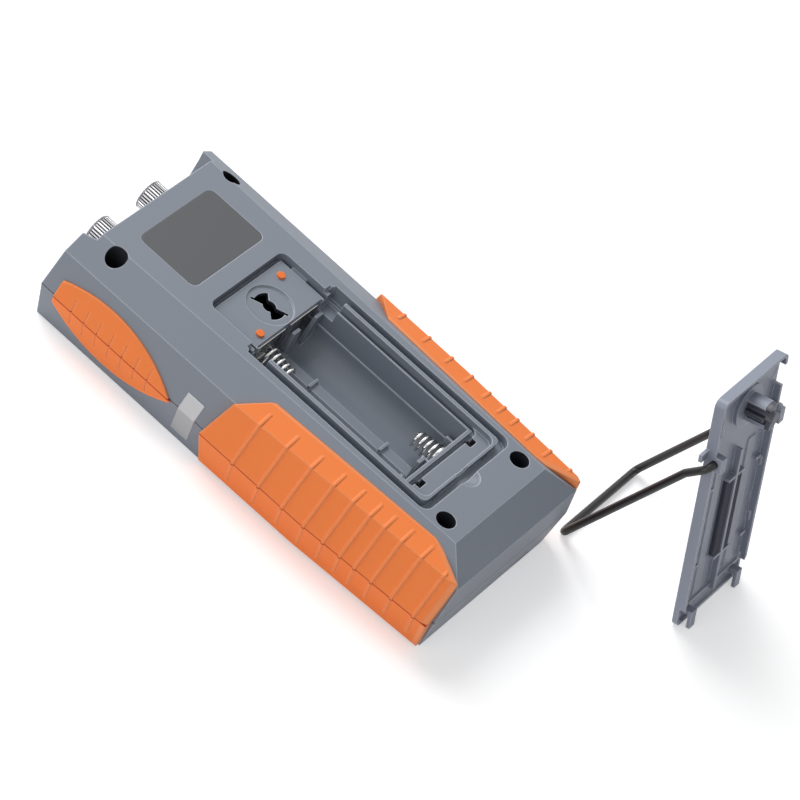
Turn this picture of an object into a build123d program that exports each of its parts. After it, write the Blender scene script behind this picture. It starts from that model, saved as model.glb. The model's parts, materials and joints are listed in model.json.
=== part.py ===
"""Handheld optical multimeter, lying on its front face with its back opened up.

The battery door and its wire bail are off the meter and stand beside it. Lengths are millimetres and
angles are degrees. The origin is on the front rest face under the middle of the case, +Z runs out
through the back of the meter and +Y runs towards the two optical ports.
"""
from build123d import *
import math
import os

# case: plan sizes are half widths at the port end, at the waist and at the foot end
CASE_DEPTH = 32.0
PARTING_Z = 13.5
CREASE_Z = 26.3
WAIST_Y = 5.0
PORT_END_Y = 70.2
FOOT_END_Y = 73.4
BACK_FOOT_Y = 63.4
EAR_LENGTH = 4.4
EAR_HALF_GAP = 27.2
EAR_TIP_HALF_GAP = 28.2
BACK_HALF = (25.4, 24.0, 22.6)
CREASE_HALF = (34.4, 34.1, 30.3)
PARTING_HALF = (38.0, 38.0, 33.6)
FRONT_HALF = (35.0, 35.0, 31.0)
WALL = 2.0
FRONT_PANEL = 2.4
FRONT_POCKET = 1.2
SLIT_X = (16.4, 24.5)
SLIT_Z = (0.5, 2.3)
SLIT_DEPTH = 1.2
FIT = 0.3

# big and small grips
GRIP_TOP_Y = 13.5
GRIP_INNER_TOP = (26.8, 0.0)
GRIP_SHOULDER = (36.0, 8.5)
GRIP_INNER_FOOT = (23.9, -59.0)
GRIP_FOOT = (30.9, -72.3)
GRIP_FRONT_Z = 1.6
GRIP_TOP_ROUND = 5.0
GRIP_FOOT_ROUND = 2.5
GRIP_OUTER_X = 44.0
RIB_COUNT = 10
RIB_FIRST_Y = -1.1
RIB_PITCH_MIN = 5.2
RIB_PITCH_STEP = 0.95
RIB_MIDDLE = 5
RIB_WIDTH = 0.9
RIB_HEIGHT = 0.5
RIB_FOOT = 3.0
RIB_START_X = ((31.2, 2.0), (26.6, -74.0))
PAD_HEIGHT = 0.8
PAD_SPAN_Y = (24.2, 70.0)
PAD_TIP_Z = 13.0
PAD_CREST = (50.0, 22.4)
PAD_DIP = (46.0, 3.9)
PAD_END_Z = (10.8, 19.2)
TICK_COUNT = 7
TICK_PITCH = 4.93
TICK_FIRST_Y = 33.3
TICK_SIZE = (0.5, 9.4, 0.35)
TICK_LOW = 5.2
TICK_LEAN = 6.0

# back: nameplate, door recess, bail groove, screws
NAMEPLATE = (34.0, 22.0, 0.3)
NAMEPLATE_Y = 52.5
NAMEPLATE_RADIUS = 2.4
SEAL_Y = (15.3, 21.5)
SEAL_Z = (3.2, 19.2)
SEAL_THICK = 0.15
RECESS_HALF = 17.62
RECESS_TOP_Y = 35.16
RECESS_FOOT_Y = -48.0
RECESS_DEPTH = 2.0
RECESS_RADIUS = 2.6
CHANNEL_WIDTH = 1.4
CHANNEL_DEPTH = 1.7
GROOVE_HALF = 21.4
GROOVE_WIDTH = 2.5
GROOVE_TOP_Y = 18.3
GROOVE_RADIUS = 3.2
NOTCH_RADIUS = 5.0
NOTCH_DEPTH = 1.8
PIVOT_POCKET = (7.6, 5.2)
PIVOT_POCKET_WALL = 1.2
HOOK_X = 12.6
HOOK_WIDTH = 2.8
HOOK_POST_Y = (3.6, 5.0)
HOOK_TONGUE_Y = -1.0
HOOK_TONGUE_Z = (3.2, 4.4)
CATCH_Y = (24.3, 30.0)
CATCH_SIZE = (1.5, 1.4)
SCREW_FOOT = (18.49, -56.6)
SCREW_PORT = (27.1, 62.7)
WELL_RADIUS = 3.06
WELL_WALL = 1.3
WELL_FLOOR_Z = 15.6
SCREW_HEAD = (2.7, 1.8)
SCREW_SHANK = (1.25, 9.0)

# lock recess and knob
LOCK_Y = 24.75
LOCK_RADIUS = 7.36
LOCK_DEPTH = 0.6
KEYHOLE_HUB = 2.1
KEYHOLE_WING = 4.9
KEYHOLE_HALF_ANGLE = 36.0
KEYHOLE_TURN = 81.0
KEYHOLE_NUB = (6.0, 0.8)
KEYHOLE_CUT = 8.0
PEG_RADIUS = 1.25
PEG_HEIGHT = 0.7
PEG_PLACES = ((11.4, 29.9), (-11.4, 19.6))

# battery bay for two cells side by side
CELL_RADIUS = 7.25
CELL_CLEAR = 0.2
BAY_HALF = 15.6
BAY_TOP_Y = 17.17
BAY_FOOT_Y = -39.83
BAY_WALL = 1.2
CELL_X = 7.8
CELL_Z = 21.6
BRIDGE_HALF = 3.0
BRIDGE_Z = 17.2
BRIDGE_SPAN_Y = (-25.5, 2.0)
BRIDGE_TAB = (4.4, 0.9, 1.0)
CONTACT_THICK = 0.4
CONTACT_SIZE = (13.2, 13.5)
GUARD_THICK = 1.0
GUARD_GAP = 5.6
GUARD_TOP_GAP = 9.6
GUARD_SETBACK = 1.9
GUARD_RISE = 5.2
STOP_X = (1.0, 13.4)
STOP_LENGTH = 3.2
STOP_THICK = 0.8
STOP_RISE = 3.0
SPRING_WIRE = 0.45
SPRING_BASE = 3.6
SPRING_TIP = 2.4
SPRING_LENGTH = 9.5
SPRING_TURNS = 5
SPRING_STEPS = 14
WIRE_SIDES = 6

# door, foam, knob and bail
DOOR_GAP = 0.3
DOOR_PLATE = 1.2
DOOR_RIM = 3.5
DOOR_FOOT_RIM = 1.8
DOOR_RIM_WALL = 1.0
DOOR_RADIUS = 2.3
RIM_SLIT_Y = (70.6, 77.6)
RIM_SLIT_WIDTH = 0.5
RIM_NOTCH_Y = (71.0, 78.4)
RIM_STEPS_Y = (21.0, 41.5)
RIM_STEP = (3.0, 0.6)
BAND_X = (6.6, 10.4)
BAND_Y = (8.0, 56.0)
BAND_RISE = 0.35
SPINE_Y = (4.8, 57.0)
SPINE_WIDTH = 0.9
SPINE_RISE = 2.0
GUSSET_X = 13.6
GUSSET_SIZE = (2.6, 0.9, 1.3)
GUSSET_Y = ((20.6, 48.7), (17.0, 45.4))
DIMPLE_X = 14.0
DIMPLE_RADIUS = 1.9
DIMPLE_DEPTH = 0.12
DIMPLE_Y = (9.5, 29.5, 52.5, 76.0)
WING_Y = (63.1, 65.6)
WING_LENGTH = 3.8
LUG_WALL = 1.2
LUG_LENGTH = 2.6
WING_THICK = 1.1
FOAM = (8.6, 27.4, 1.5)
FOAM_Y = -14.5
RIB_WALL = 0.8
BOSS_RADIUS = 6.9
BOSS_RISE = 2.6
LOCK_GUARD = (3.4, 4.5)
LOCK_GUARD_RISE = 6.2
LOCK_GUARD_HALF_ANGLE = 31.0
STEM_RADIUS = 1.7
CROSS_ARM = (3.1, 1.5)
WING_RADIUS = 4.4
WING_HALF_ANGLE = 27.0
WING_RISE = 1.5
TIP_RISE = 0.9
KNOB_RADIUS = 5.2
KNOB_HEAD = 0.9
RUNNING_GAP = 0.05
BAIL_WIRE = 1.25
BAIL_BEND = 2.2
PIN_GRIP = 2.0
PIVOT_FROM_TOP = 21.0
PIVOT_DEPTH = 3.4
BAIL_KINK = 8.5
BAIL_OPEN = 40.0
DOOR_STAND = (58.5, -116.0)

# ports, caps, and what lies inside
PORT_X = 12.0
PORT_Z = 18.0
PORT_BARREL = 3.9
PORT_FLANGE = (6.4, 1.6)
PORT_BORE = 1.26
PORT_LENGTH = 7.0
CAP_RADIUS = 4.9
CAP_LENGTH = 9.0
CAP_CLEAR = 0.06
CAP_COLLAR = 0.9
KNURL_COUNT = 32
KNURL_DEPTH = 0.3
MODULE_RADIUS = 4.4
MODULE_LENGTH = 9.0
BOARD_THICK = 1.6
BOARD_Z = 7.2
BOARD_HALF_X = 32.0
BOARD_CLEAR = 0.4
BOARD_SPAN_Y = (-66.0, 60.0)
POST_RADIUS = 4.3
POST_TIP_RADIUS = 3.1
PILOT_RADIUS = 1.3
DISPLAY = (46.0, 34.0)
DISPLAY_Y = 38.0
DISPLAY_BEZEL = 4.0
WINDOW_THICK = 1.0
KEY_SIZE = (12.0, 8.0)
KEY_RADIUS = 2.0
KEY_COLUMNS = 3
KEY_ROWS = 2
KEY_PITCH = (17.0, 14.0)
KEYPAD_Y = -32.0
KEYPAD_MARGIN = (4.0, 5.0)
KEY_FACE_Z = 0.4
KEY_FLANGE = 1.0
KEY_LIP = 1.0
KEY_EDGE = 0.4
KEY_TRAVEL = 0.7
PILL_RADIUS = 2.5

BACK_Z = CASE_DEPTH
RECESS_Z = BACK_Z - RECESS_DEPTH
SCREW_PLACES = [(sx * x, y) for x, y in (SCREW_PORT, SCREW_FOOT) for sx in (-1, 1)]
DOOR_HALF = RECESS_HALF - DOOR_GAP
DOOR_LENGTH = RECESS_TOP_Y - RECESS_FOOT_Y - 2 * DOOR_GAP
DOOR_LEDGE = BAY_FOOT_Y - BAY_WALL - CHANNEL_WIDTH - RECESS_FOOT_Y
PIVOT_X = GROOVE_HALF - GROOVE_WIDTH / 2
LUG_HALF = BAIL_WIRE + LUG_WALL
GROOVE_DEPTH = 2 * BAIL_WIRE + 2 * RUNNING_GAP + FIT
BAIL_DROP = PIVOT_DEPTH - BAIL_WIRE - RUNNING_GAP - 0.1
BAIL_LENGTH = DOOR_LENGTH - PIVOT_FROM_TOP + BAIL_WIRE + FIT
LOCK_ARM_ANGLE = 180.0 - KEYHOLE_TURN
KEYPAD_SIZE = ((KEY_COLUMNS - 1) * KEY_PITCH[0] + KEY_SIZE[0] + 2 * KEYPAD_MARGIN[0],
               (KEY_ROWS - 1) * KEY_PITCH[1] + KEY_SIZE[1] + 2 * KEYPAD_MARGIN[1])


def case_section(halves, end_port, end_foot, grow=0.0):
    """Plan outline of the case at one height, as a closed face at z = 0."""
    port, waist, foot = (half + grow for half in halves)
    right = [(foot, -end_foot), (waist, WAIST_Y), (port, end_port)]
    left = [(-x, y) for x, y in reversed(right)]
    return make_face(Polyline(*right, *left, close=True))


def loft_between(low, low_z, high, high_z):
    """Straight-sided solid between two plan outlines."""
    return loft([Pos(0, 0, low_z) * low, Pos(0, 0, high_z) * high], ruled=True)


def case_block(side=0.0, end=0.0):
    """Rear and front halves of the case as solid blocks, grown sideways and lengthwise."""
    tip = PORT_END_Y + EAR_LENGTH + end
    foot = FOOT_END_Y + end
    parting = case_section(PARTING_HALF, tip + 0.6, foot, side)
    crease = case_section(CREASE_HALF, tip, foot - 0.5, side)
    back = case_section(BACK_HALF, tip, BACK_FOOT_Y + end, side)
    front = case_section(FRONT_HALF, tip - 0.8, foot - 0.9, side)
    rear = loft_between(parting, PARTING_Z, crease, CREASE_Z) + loft_between(crease, CREASE_Z, back, BACK_Z)
    return rear, loft_between(front, 0, parting, PARTING_Z)


def ear_notch():
    """The space between the two ears at the port end."""
    reach = PORT_END_Y + EAR_LENGTH + 10
    inner = (EAR_HALF_GAP, PORT_END_Y)
    outer = (EAR_TIP_HALF_GAP + 10 * (EAR_TIP_HALF_GAP - EAR_HALF_GAP) / EAR_LENGTH, reach)
    outline = Polyline(inner, outer, (-outer[0], reach), (-inner[0], PORT_END_Y), close=True)
    return Pos(0, 0, -1) * extrude(make_face(outline), CASE_DEPTH + 2)


def box_span(x, y, z):
    """Box from its low and high values along each axis."""
    size = (x[1] - x[0], y[1] - y[0], z[1] - z[0])
    return Pos((x[0] + x[1]) / 2, (y[0] + y[1]) / 2, (z[0] + z[1]) / 2) * Box(*size)


def rounded_prism(half, low_y, high_y, radius, low_z, high_z):
    """Upright prism with a rounded rectangular outline, centred on x = 0."""
    outline = Pos(0, (low_y + high_y) / 2) * RectangleRounded(2 * half, high_y - low_y, radius)
    return Pos(0, 0, low_z) * extrude(outline, high_z - low_z)


def along_y(x, z, radius, low_y, high_y):
    """Cylinder along Y."""
    return Pos(x, (low_y + high_y) / 2, z) * Rot(90, 0, 0) * Cylinder(radius, high_y - low_y)


def upright(x, y, radius, low_z, high_z):
    """Cylinder along Z."""
    return Pos(x, y, (low_z + high_z) / 2) * Cylinder(radius, high_z - low_z)


def door_recess():
    """Stepped pocket that takes the door: floor, rim channel and hook slots."""
    pocket = rounded_prism(RECESS_HALF, RECESS_FOOT_Y, RECESS_TOP_Y, RECESS_RADIUS, RECESS_Z, BACK_Z + 1)
    channel = rounded_prism(RECESS_HALF, BAY_FOOT_Y - BAY_WALL - CHANNEL_WIDTH, RECESS_TOP_Y, RECESS_RADIUS,
                            RECESS_Z - CHANNEL_DEPTH, RECESS_Z)
    channel_z = (RECESS_Z - CHANNEL_DEPTH, RECESS_Z)
    island = box_span((-RECESS_HALF + CHANNEL_WIDTH, RECESS_HALF - CHANNEL_WIDTH),
                      (BAY_FOOT_Y - BAY_WALL, RECESS_TOP_Y - CHANNEL_WIDTH), channel_z)
    slots = Part()
    door_foot_y = RECESS_FOOT_Y + DOOR_GAP
    low_z = BACK_Z - HOOK_TONGUE_Z[1] - FIT
    for sx in (-1, 1):
        slot_x = (sx * HOOK_X - HOOK_WIDTH / 2 - FIT, sx * HOOK_X + HOOK_WIDTH / 2 + FIT)
        post_y = (door_foot_y + HOOK_POST_Y[0] - FIT, door_foot_y + HOOK_POST_Y[1] + FIT)
        slots += box_span(slot_x, post_y, (low_z, BACK_Z))
        slots += box_span(slot_x, (door_foot_y + HOOK_TONGUE_Y - FIT, post_y[1]),
                          (low_z, BACK_Z - HOOK_TONGUE_Z[0] + FIT))
    width, rise = CATCH_SIZE
    catch = box_span((RECESS_HALF - width, RECESS_HALF), CATCH_Y, (channel_z[0], channel_z[0] + rise))
    return pocket + (channel - island - catch) + slots


def bail_groove():
    """U-shaped groove round the door that holds the folded bail, with a finger scoop."""
    foot = RECESS_FOOT_Y - 3.4
    outer = rounded_prism(GROOVE_HALF, foot, GROOVE_TOP_Y, GROOVE_RADIUS, BACK_Z - GROOVE_DEPTH, BACK_Z + 1)
    inner = rounded_prism(GROOVE_HALF - GROOVE_WIDTH, foot + GROOVE_WIDTH, GROOVE_TOP_Y + 10,
                          GROOVE_RADIUS - GROOVE_WIDTH / 2, BACK_Z - GROOVE_DEPTH, BACK_Z + 1)
    scoop = Pos(0, foot + 0.6, BACK_Z + NOTCH_RADIUS - NOTCH_DEPTH) * Sphere(NOTCH_RADIUS)
    return (outer - inner) + scoop + pivot_pockets(0) + pivot_seats(0)


def pivot_pockets(grow):
    """Deeper ends of the bail groove, where each leg dives to its pivot, grown evenly for their walls."""
    length, depth = PIVOT_POCKET
    pockets = Part()
    for sx in (-1, 1):
        inner = GROOVE_HALF - GROOVE_WIDTH - grow
        span_x = sorted((sx * inner, sx * (GROOVE_HALF + grow)))
        pockets += box_span(span_x, (GROOVE_TOP_Y - length - grow, GROOVE_TOP_Y - GROOVE_WIDTH / 2 + grow),
                            (BACK_Z - depth - grow, BACK_Z + (1 if grow == 0 else -RECESS_DEPTH)))
    return pockets


def bay_hollow():
    """Cells' space: two round cradles, with a flat relief bridge between them."""
    hollow = box_span((-BAY_HALF, BAY_HALF), (BAY_FOOT_Y, BAY_TOP_Y), (CELL_Z, BACK_Z + 1))
    for sx in (-1, 1):
        hollow += along_y(sx * CELL_X, CELL_Z, CELL_RADIUS + CELL_CLEAR, BAY_FOOT_Y, BAY_TOP_Y)
    return hollow + box_span((-BRIDGE_HALF, BRIDGE_HALF), (BAY_FOOT_Y, BAY_TOP_Y), (BRIDGE_Z, CELL_Z + 1))


def nub_guard(x, wall_y, inward):
    """Fin with a tapered gap: it lets a cell's nub through and keeps its flat end off the contact."""
    floor_z = CELL_Z - CELL_RADIUS + 0.4
    face_y = wall_y + inward * GUARD_SETBACK
    half = CELL_RADIUS - 0.2
    fin = box_span((x - half, x + half), sorted((face_y, face_y + inward * GUARD_THICK)),
                   (floor_z, CELL_Z + GUARD_RISE))
    low, high = GUARD_GAP / 2, GUARD_TOP_GAP / 2
    gap = Polyline((x - low, floor_z - 1), (x + low, floor_z - 1), (x + low, CELL_Z - 1),
                   (x + high, BACK_Z), (x - high, BACK_Z), (x - low, CELL_Z - 1), close=True)
    cutter = extrude(Plane.XZ.offset(-face_y) * make_face(gap), 2 * GUARD_THICK, both=True)
    return fin - cutter


def keyhole():
    """Bow-tie hole for the lock's wings, cut through the recess floor."""
    reach, width = KEYHOLE_NUB
    hole = Circle(KEYHOLE_HUB)
    for start in (KEYHOLE_TURN, KEYHOLE_TURN + 180):
        hole += Rot(0, 0, start) * sector(KEYHOLE_WING, KEYHOLE_HALF_ANGLE)
        nub = Pos(reach / 2, 0) * Rectangle(reach, width)
        hole += Rot(0, 0, start + KEYHOLE_HALF_ANGLE - 4) * nub
    return Pos(0, LOCK_Y, RECESS_Z - KEYHOLE_CUT) * extrude(hole, KEYHOLE_CUT + RECESS_DEPTH)


def sector(radius, half_angle):
    """Slice of a disc, centred on the X axis."""
    turn = math.radians(half_angle)
    tip = (radius * math.cos(turn), radius * math.sin(turn))
    low_tip = (tip[0], -tip[1])
    edges = [Line((0, 0), low_tip), ThreePointArc(low_tip, (radius, 0), tip), Line(tip, (0, 0))]
    return make_face(Curve() + edges)


def build_back_housing():
    """Rear shell with the battery bay, door recess, bail groove and screw wells."""
    rear, _ = case_block()
    hollow, _ = case_block(-WALL, -WALL)
    hollow = hollow & box_span((-50, 50), (-90, PORT_END_Y - WALL), (0, BACK_Z - WALL - 2.2))
    shell = rear - ear_notch() - hollow
    bay_floor = CELL_Z - CELL_RADIUS - CELL_CLEAR - BAY_WALL
    outer_half = BAY_HALF + BAY_WALL
    walls = box_span((-outer_half, outer_half), (BAY_FOOT_Y - BAY_WALL, BAY_TOP_Y + BAY_WALL),
                     (bay_floor, RECESS_Z - 0.5))
    shell += walls
    shell += (pivot_pockets(PIVOT_POCKET_WALL) + pivot_seats(PIVOT_POCKET_WALL) + hook_blocks()) & rear
    for x, y in SCREW_PLACES:
        shell += upright(x, y, WELL_RADIUS + WELL_WALL, PARTING_Z, BACK_Z) & rear
    shell -= door_recess()
    shell -= bail_groove()
    shell -= bay_hollow()
    shell -= upright(0, LOCK_Y, LOCK_RADIUS, RECESS_Z - LOCK_DEPTH, BACK_Z)
    shell -= keyhole()
    for x, y in PEG_PLACES:
        shell -= upright(x, y, PEG_RADIUS, RECESS_Z - 1.2, BACK_Z)
    for x, y in SCREW_PLACES:
        shell -= upright(x, y, WELL_RADIUS, WELL_FLOOR_Z, BACK_Z + 1)
        shell -= upright(x, y, SCREW_SHANK[0] + 0.4, PARTING_Z - 1, WELL_FLOOR_Z)
    shell += nub_guard(CELL_X, BAY_TOP_Y, -1) + nub_guard(-CELL_X, BAY_FOOT_Y, 1)
    shell += spring_stops()
    width, thick, rise = BRIDGE_TAB
    for y in BRIDGE_SPAN_Y:
        shell += box_span((-width / 2, width / 2), (y - thick / 2, y + thick / 2),
                          (BRIDGE_Z - 1, BRIDGE_Z + rise))
    shell -= port_openings()
    shell -= rounded_prism(NAMEPLATE[0] / 2, NAMEPLATE_Y - NAMEPLATE[1] / 2, NAMEPLATE_Y + NAMEPLATE[1] / 2,
                           NAMEPLATE_RADIUS, BACK_Z - NAMEPLATE[2], BACK_Z + 1)
    return shell


def spring_stops():
    """Two small posts that flank the foot-end spring and stop the cell before it is flat."""
    low_y = BAY_FOOT_Y + CONTACT_THICK + RUNNING_GAP
    stops = Part()
    for x in STOP_X:
        stops += box_span((x - STOP_THICK / 2, x + STOP_THICK / 2), (low_y, low_y + STOP_LENGTH),
                          (BRIDGE_Z - 1, CELL_Z + STOP_RISE))
    return stops


def pivot_seats(grow):
    """Pockets for the door's pivot lugs and wings beside the recess, grown evenly for their walls."""
    pivot_y = RECESS_FOOT_Y + DOOR_GAP + DOOR_LENGTH - PIVOT_FROM_TOP
    top_z = BACK_Z + (1 if grow == 0 else -RECESS_DEPTH)
    clear = FIT + grow
    seats = Part()
    for sx in (-1, 1):
        lug_x = sorted((sx * (DOOR_HALF - LUG_LENGTH - clear), sx * (PIVOT_X + grow)))
        seats += box_span(lug_x, (pivot_y - LUG_HALF - clear, pivot_y + LUG_HALF + clear),
                          (BACK_Z - PIVOT_DEPTH - LUG_HALF - clear, top_z))
        if grow == 0:
            wing_y = (WING_Y[0] + RECESS_FOOT_Y + DOOR_GAP - FIT, GROOVE_TOP_Y)
            wing_x = sorted((sx * DOOR_HALF, sx * PIVOT_X))
            seats += box_span(wing_x, wing_y, (BACK_Z - WING_THICK - FIT, top_z))
    return seats


def hook_blocks():
    """Solid blocks under the recess foot that the door's hook slots are cut into."""
    door_foot_y = RECESS_FOOT_Y + DOOR_GAP
    blocks = Part()
    for sx in (-1, 1):
        half = HOOK_WIDTH / 2 + FIT + BAY_WALL
        blocks += box_span((sx * HOOK_X - half, sx * HOOK_X + half),
                           (door_foot_y + HOOK_TONGUE_Y - FIT - BAY_WALL, BAY_FOOT_Y - BAY_WALL / 2),
                           (BACK_Z - HOOK_TONGUE_Z[1] - FIT - BAY_WALL, RECESS_Z - RECESS_DEPTH / 2))
    return blocks


def port_openings():
    """Round holes in the port end wall for the two optical ports."""
    holes = Part()
    for sx in (-1, 1):
        holes += along_y(sx * PORT_X, PORT_Z, PORT_BARREL + 0.02, PORT_END_Y - 8, PORT_END_Y + 2)
    return holes


def key_places():
    """Centres of the keys, row by row from the port side."""
    for row in range(KEY_ROWS):
        for column in range(KEY_COLUMNS):
            x = (column - (KEY_COLUMNS - 1) / 2) * KEY_PITCH[0]
            y = KEYPAD_Y + ((KEY_ROWS - 1) / 2 - row) * KEY_PITCH[1]
            yield x, y


def key_prism(x, y, grow, low_z, high_z):
    """Rounded key outline at one place, grown evenly."""
    outline = RectangleRounded(KEY_SIZE[0] + 2 * grow, KEY_SIZE[1] + 2 * grow, KEY_RADIUS + grow)
    return Pos(x, y, low_z) * extrude(outline, high_z - low_z)


def build_front_housing():
    """Front shell with the display window's seat, the key openings and the screw posts."""
    _, front = case_block()
    _, hollow = case_block(-WALL, -WALL)
    hollow = hollow & box_span((-50, 50), (-90, PORT_END_Y - WALL), (FRONT_PANEL, PARTING_Z + 1))
    shell = front - ear_notch() - hollow
    width, height = DISPLAY
    bezel = DISPLAY_BEZEL
    shell -= rounded_prism(width / 2 + bezel, DISPLAY_Y - height / 2 - bezel, DISPLAY_Y + height / 2 + bezel,
                           3.0, -1, FRONT_POCKET)
    shell -= rounded_prism(width / 2, DISPLAY_Y - height / 2, DISPLAY_Y + height / 2, 1.0, 0, FRONT_PANEL + 1)
    shell -= rounded_prism(KEYPAD_SIZE[0] / 2, KEYPAD_Y - KEYPAD_SIZE[1] / 2, KEYPAD_Y + KEYPAD_SIZE[1] / 2,
                           3.0, -1, FRONT_POCKET)
    for x, y in key_places():
        shell -= key_prism(x, y, FIT, 0, FRONT_PANEL + 1)
    for x, y in SCREW_PLACES:
        shell += upright(x, y, POST_RADIUS, FRONT_PANEL, BOARD_Z) & front
        shell += upright(x, y, POST_TIP_RADIUS, BOARD_Z, PARTING_Z)
        shell -= upright(x, y, PILOT_RADIUS, FRONT_PANEL + 0.8, PARTING_Z + 1)
    shell -= box_span(SLIT_X, (-FOOT_END_Y - 1, -FOOT_END_Y + SLIT_DEPTH + 0.5), SLIT_Z)
    return shell - port_openings()


def build_case_screws():
    """Four pan-head screws at the bottom of the wells."""
    screws = []
    for x, y in SCREW_PLACES:
        head_top = WELL_FLOOR_Z + SCREW_HEAD[1]
        screw = upright(x, y, SCREW_HEAD[0], WELL_FLOOR_Z, head_top)
        screw += upright(x, y, SCREW_SHANK[0], WELL_FLOOR_Z - SCREW_SHANK[1], WELL_FLOOR_Z)
        screw -= Pos(x, y, head_top) * (Box(3.0, 0.8, 1.6) + Box(0.8, 3.0, 1.6))
        screws.append(screw)
    return Compound(children=screws)


def rib_heights():
    """Places of the grip ribs along Y: the pitch is least near the middle of the hand."""
    y = RIB_FIRST_Y
    places = []
    for index in range(RIB_COUNT):
        places.append(y)
        y -= RIB_PITCH_MIN + RIB_PITCH_STEP * abs(index - RIB_MIDDLE)
    return places


def grip_band(grow):
    """Full-length band of the right grip before its outline is cut, as a loft of XZ outlines."""
    stations = ((GRIP_TOP_Y + 2, 26.9, 36.2, 27.4, 40.2, 37.0), (-26.0, 25.6, 34.6, 28.6, 40.0, 36.6),
                (GRIP_FOOT[1] - 2, 23.2, 31.8, 29.2, 36.6, 33.6))
    faces = []
    for y, inner, ridge, ridge_z, side, front in stations:
        outline = Polyline((inner, 24.0), (inner, 31.0), (ridge + grow * 0.5, ridge_z + grow * 0.5),
                           (side + grow, PARTING_Z), (front + grow, GRIP_FRONT_Z),
                           (front - 8, GRIP_FRONT_Z), (front - 8, 20.0), close=True)
        faces.append(Plane.XZ.offset(-y) * make_face(outline))
    return loft(faces, ruled=True)


def grip_outline():
    """Upright prism with the grip's plan outline on the right side."""
    outline = make_face(Polyline(GRIP_INNER_TOP, GRIP_SHOULDER, (GRIP_OUTER_X, GRIP_TOP_Y + 1.5),
                                 (GRIP_OUTER_X, GRIP_FOOT[1]), GRIP_FOOT, GRIP_INNER_FOOT, close=True))
    corners = outline.vertices()
    outline = fillet(corners.sort_by_distance(GRIP_SHOULDER)[0], GRIP_TOP_ROUND)
    outline = fillet(outline.vertices().sort_by_distance(GRIP_INNER_TOP)[0], GRIP_FOOT_ROUND)
    outline = fillet(outline.vertices().sort_by_distance(GRIP_INNER_FOOT)[0], GRIP_FOOT_ROUND)
    return Pos(0, 0, -1) * extrude(outline, CASE_DEPTH + 2)


def rib_field():
    """Region where the ribs stand proud: from a slanting line on the top facet outwards."""
    (top_x, top_y), (foot_x, foot_y) = RIB_START_X
    outline = Polyline((top_x, top_y), (50, top_y), (50, foot_y), (foot_x, foot_y), close=True)
    return extrude(make_face(outline), CASE_DEPTH + 8)


def right_grip(case):
    """Overmoulded grip on the right side, with its ribs, clear of the case."""
    smooth = grip_band(0)
    ribs = Part()
    for y in rib_heights():
        slab = box_span((BACK_HALF[0], GRIP_OUTER_X), (y - RIB_WIDTH / 2, y + RIB_WIDTH / 2),
                        (GRIP_FRONT_Z + RIB_FOOT, CASE_DEPTH))
        ribs += grip_band(RIB_HEIGHT) & slab & rib_field()
    return ((smooth & grip_outline()) + ribs) - case


def right_pad(case):
    """Leaf-shaped finger pad high on the right side, with fine grooves across the parting line."""
    rear, front = case_block(PAD_HEIGHT)
    low_y, high_y = PAD_SPAN_Y
    tip = (low_y, PAD_TIP_Z)
    upper = ThreePointArc(tip, PAD_CREST, (high_y, PAD_END_Z[1]))
    end = Line((high_y, PAD_END_Z[1]), (high_y, PAD_END_Z[0]))
    lower = ThreePointArc((high_y, PAD_END_Z[0]), PAD_DIP, tip)
    leaf = extrude(Plane.YZ * make_face(Curve() + [upper, end, lower]), 50)
    pad = leaf & (rear + front)
    width, length, depth = TICK_SIZE
    uncut_rear, uncut_front = case_block(PAD_HEIGHT - depth)
    uncut = uncut_rear + uncut_front
    for index in range(TICK_COUNT):
        y = TICK_FIRST_Y + index * TICK_PITCH
        tick = box_span((FRONT_HALF[0], GRIP_OUTER_X), (-width / 2, width / 2),
                        (-TICK_LOW, length - TICK_LOW))
        pad -= Pos(0, y, PARTING_Z) * Rot(-TICK_LEAN, 0, 0) * tick - uncut
    return pad - case


def build_grips(case):
    """All eight soft pieces: each grip and pad is split at the parting line."""
    rear_side = box_span((-60, 60), (-100, 100), (PARTING_Z, 60))
    front_side = box_span((-60, 60), (-100, 100), (-10, PARTING_Z))
    pieces = {}
    for label, solid in (("grip", right_grip(case)), ("finger_pad", right_pad(case))):
        for side, piece in (("right", solid), ("left", mirror(solid, about=Plane.YZ))):
            pieces[f"{label}_rear_{side}"] = piece & rear_side
            pieces[f"{label}_front_{side}"] = piece & front_side
    return pieces


def build_seal_label(case):
    """Thin seal label bent round the left side wall across the parting line."""
    rear, front = case_block(SEAL_THICK)
    window = box_span((-60, -30), SEAL_Y, SEAL_Z)
    return ((rear + front) & window) - case


def coil_spring(x, wall_y, inward):
    """Conical battery spring that stands off its contact plate."""
    count = SPRING_TURNS * SPRING_STEPS
    sections = []
    for step in range(count + 1):
        share = step / count
        angle = 2 * math.pi * SPRING_TURNS * share
        radius = SPRING_BASE + (SPRING_TIP - SPRING_BASE) * share
        centre = (radius * math.cos(angle), radius * math.sin(angle), SPRING_LENGTH * share)
        section_plane = Plane(origin=centre, x_dir=(math.cos(angle), math.sin(angle), 0),
                              z_dir=(-math.sin(angle), math.cos(angle), 0))
        sections.append(section_plane * RegularPolygon(SPRING_WIRE, WIRE_SIDES))
    coil = loft(sections, ruled=True)
    turned = Rot(90, 0, 0) if inward < 0 else Rot(-90, 0, 0)
    return Pos(x, wall_y + inward * (CONTACT_THICK + SPRING_WIRE), CELL_Z) * turned * coil


def contact_plate(low_x, high_x, wall_y, inward):
    """Flat nickel plate against an end wall of the bay."""
    half = CONTACT_SIZE[1] / 2
    plate = box_span((low_x, high_x), sorted((wall_y, wall_y + inward * CONTACT_THICK)),
                     (CELL_Z - half + 1.2, CELL_Z + half))
    return plate


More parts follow.
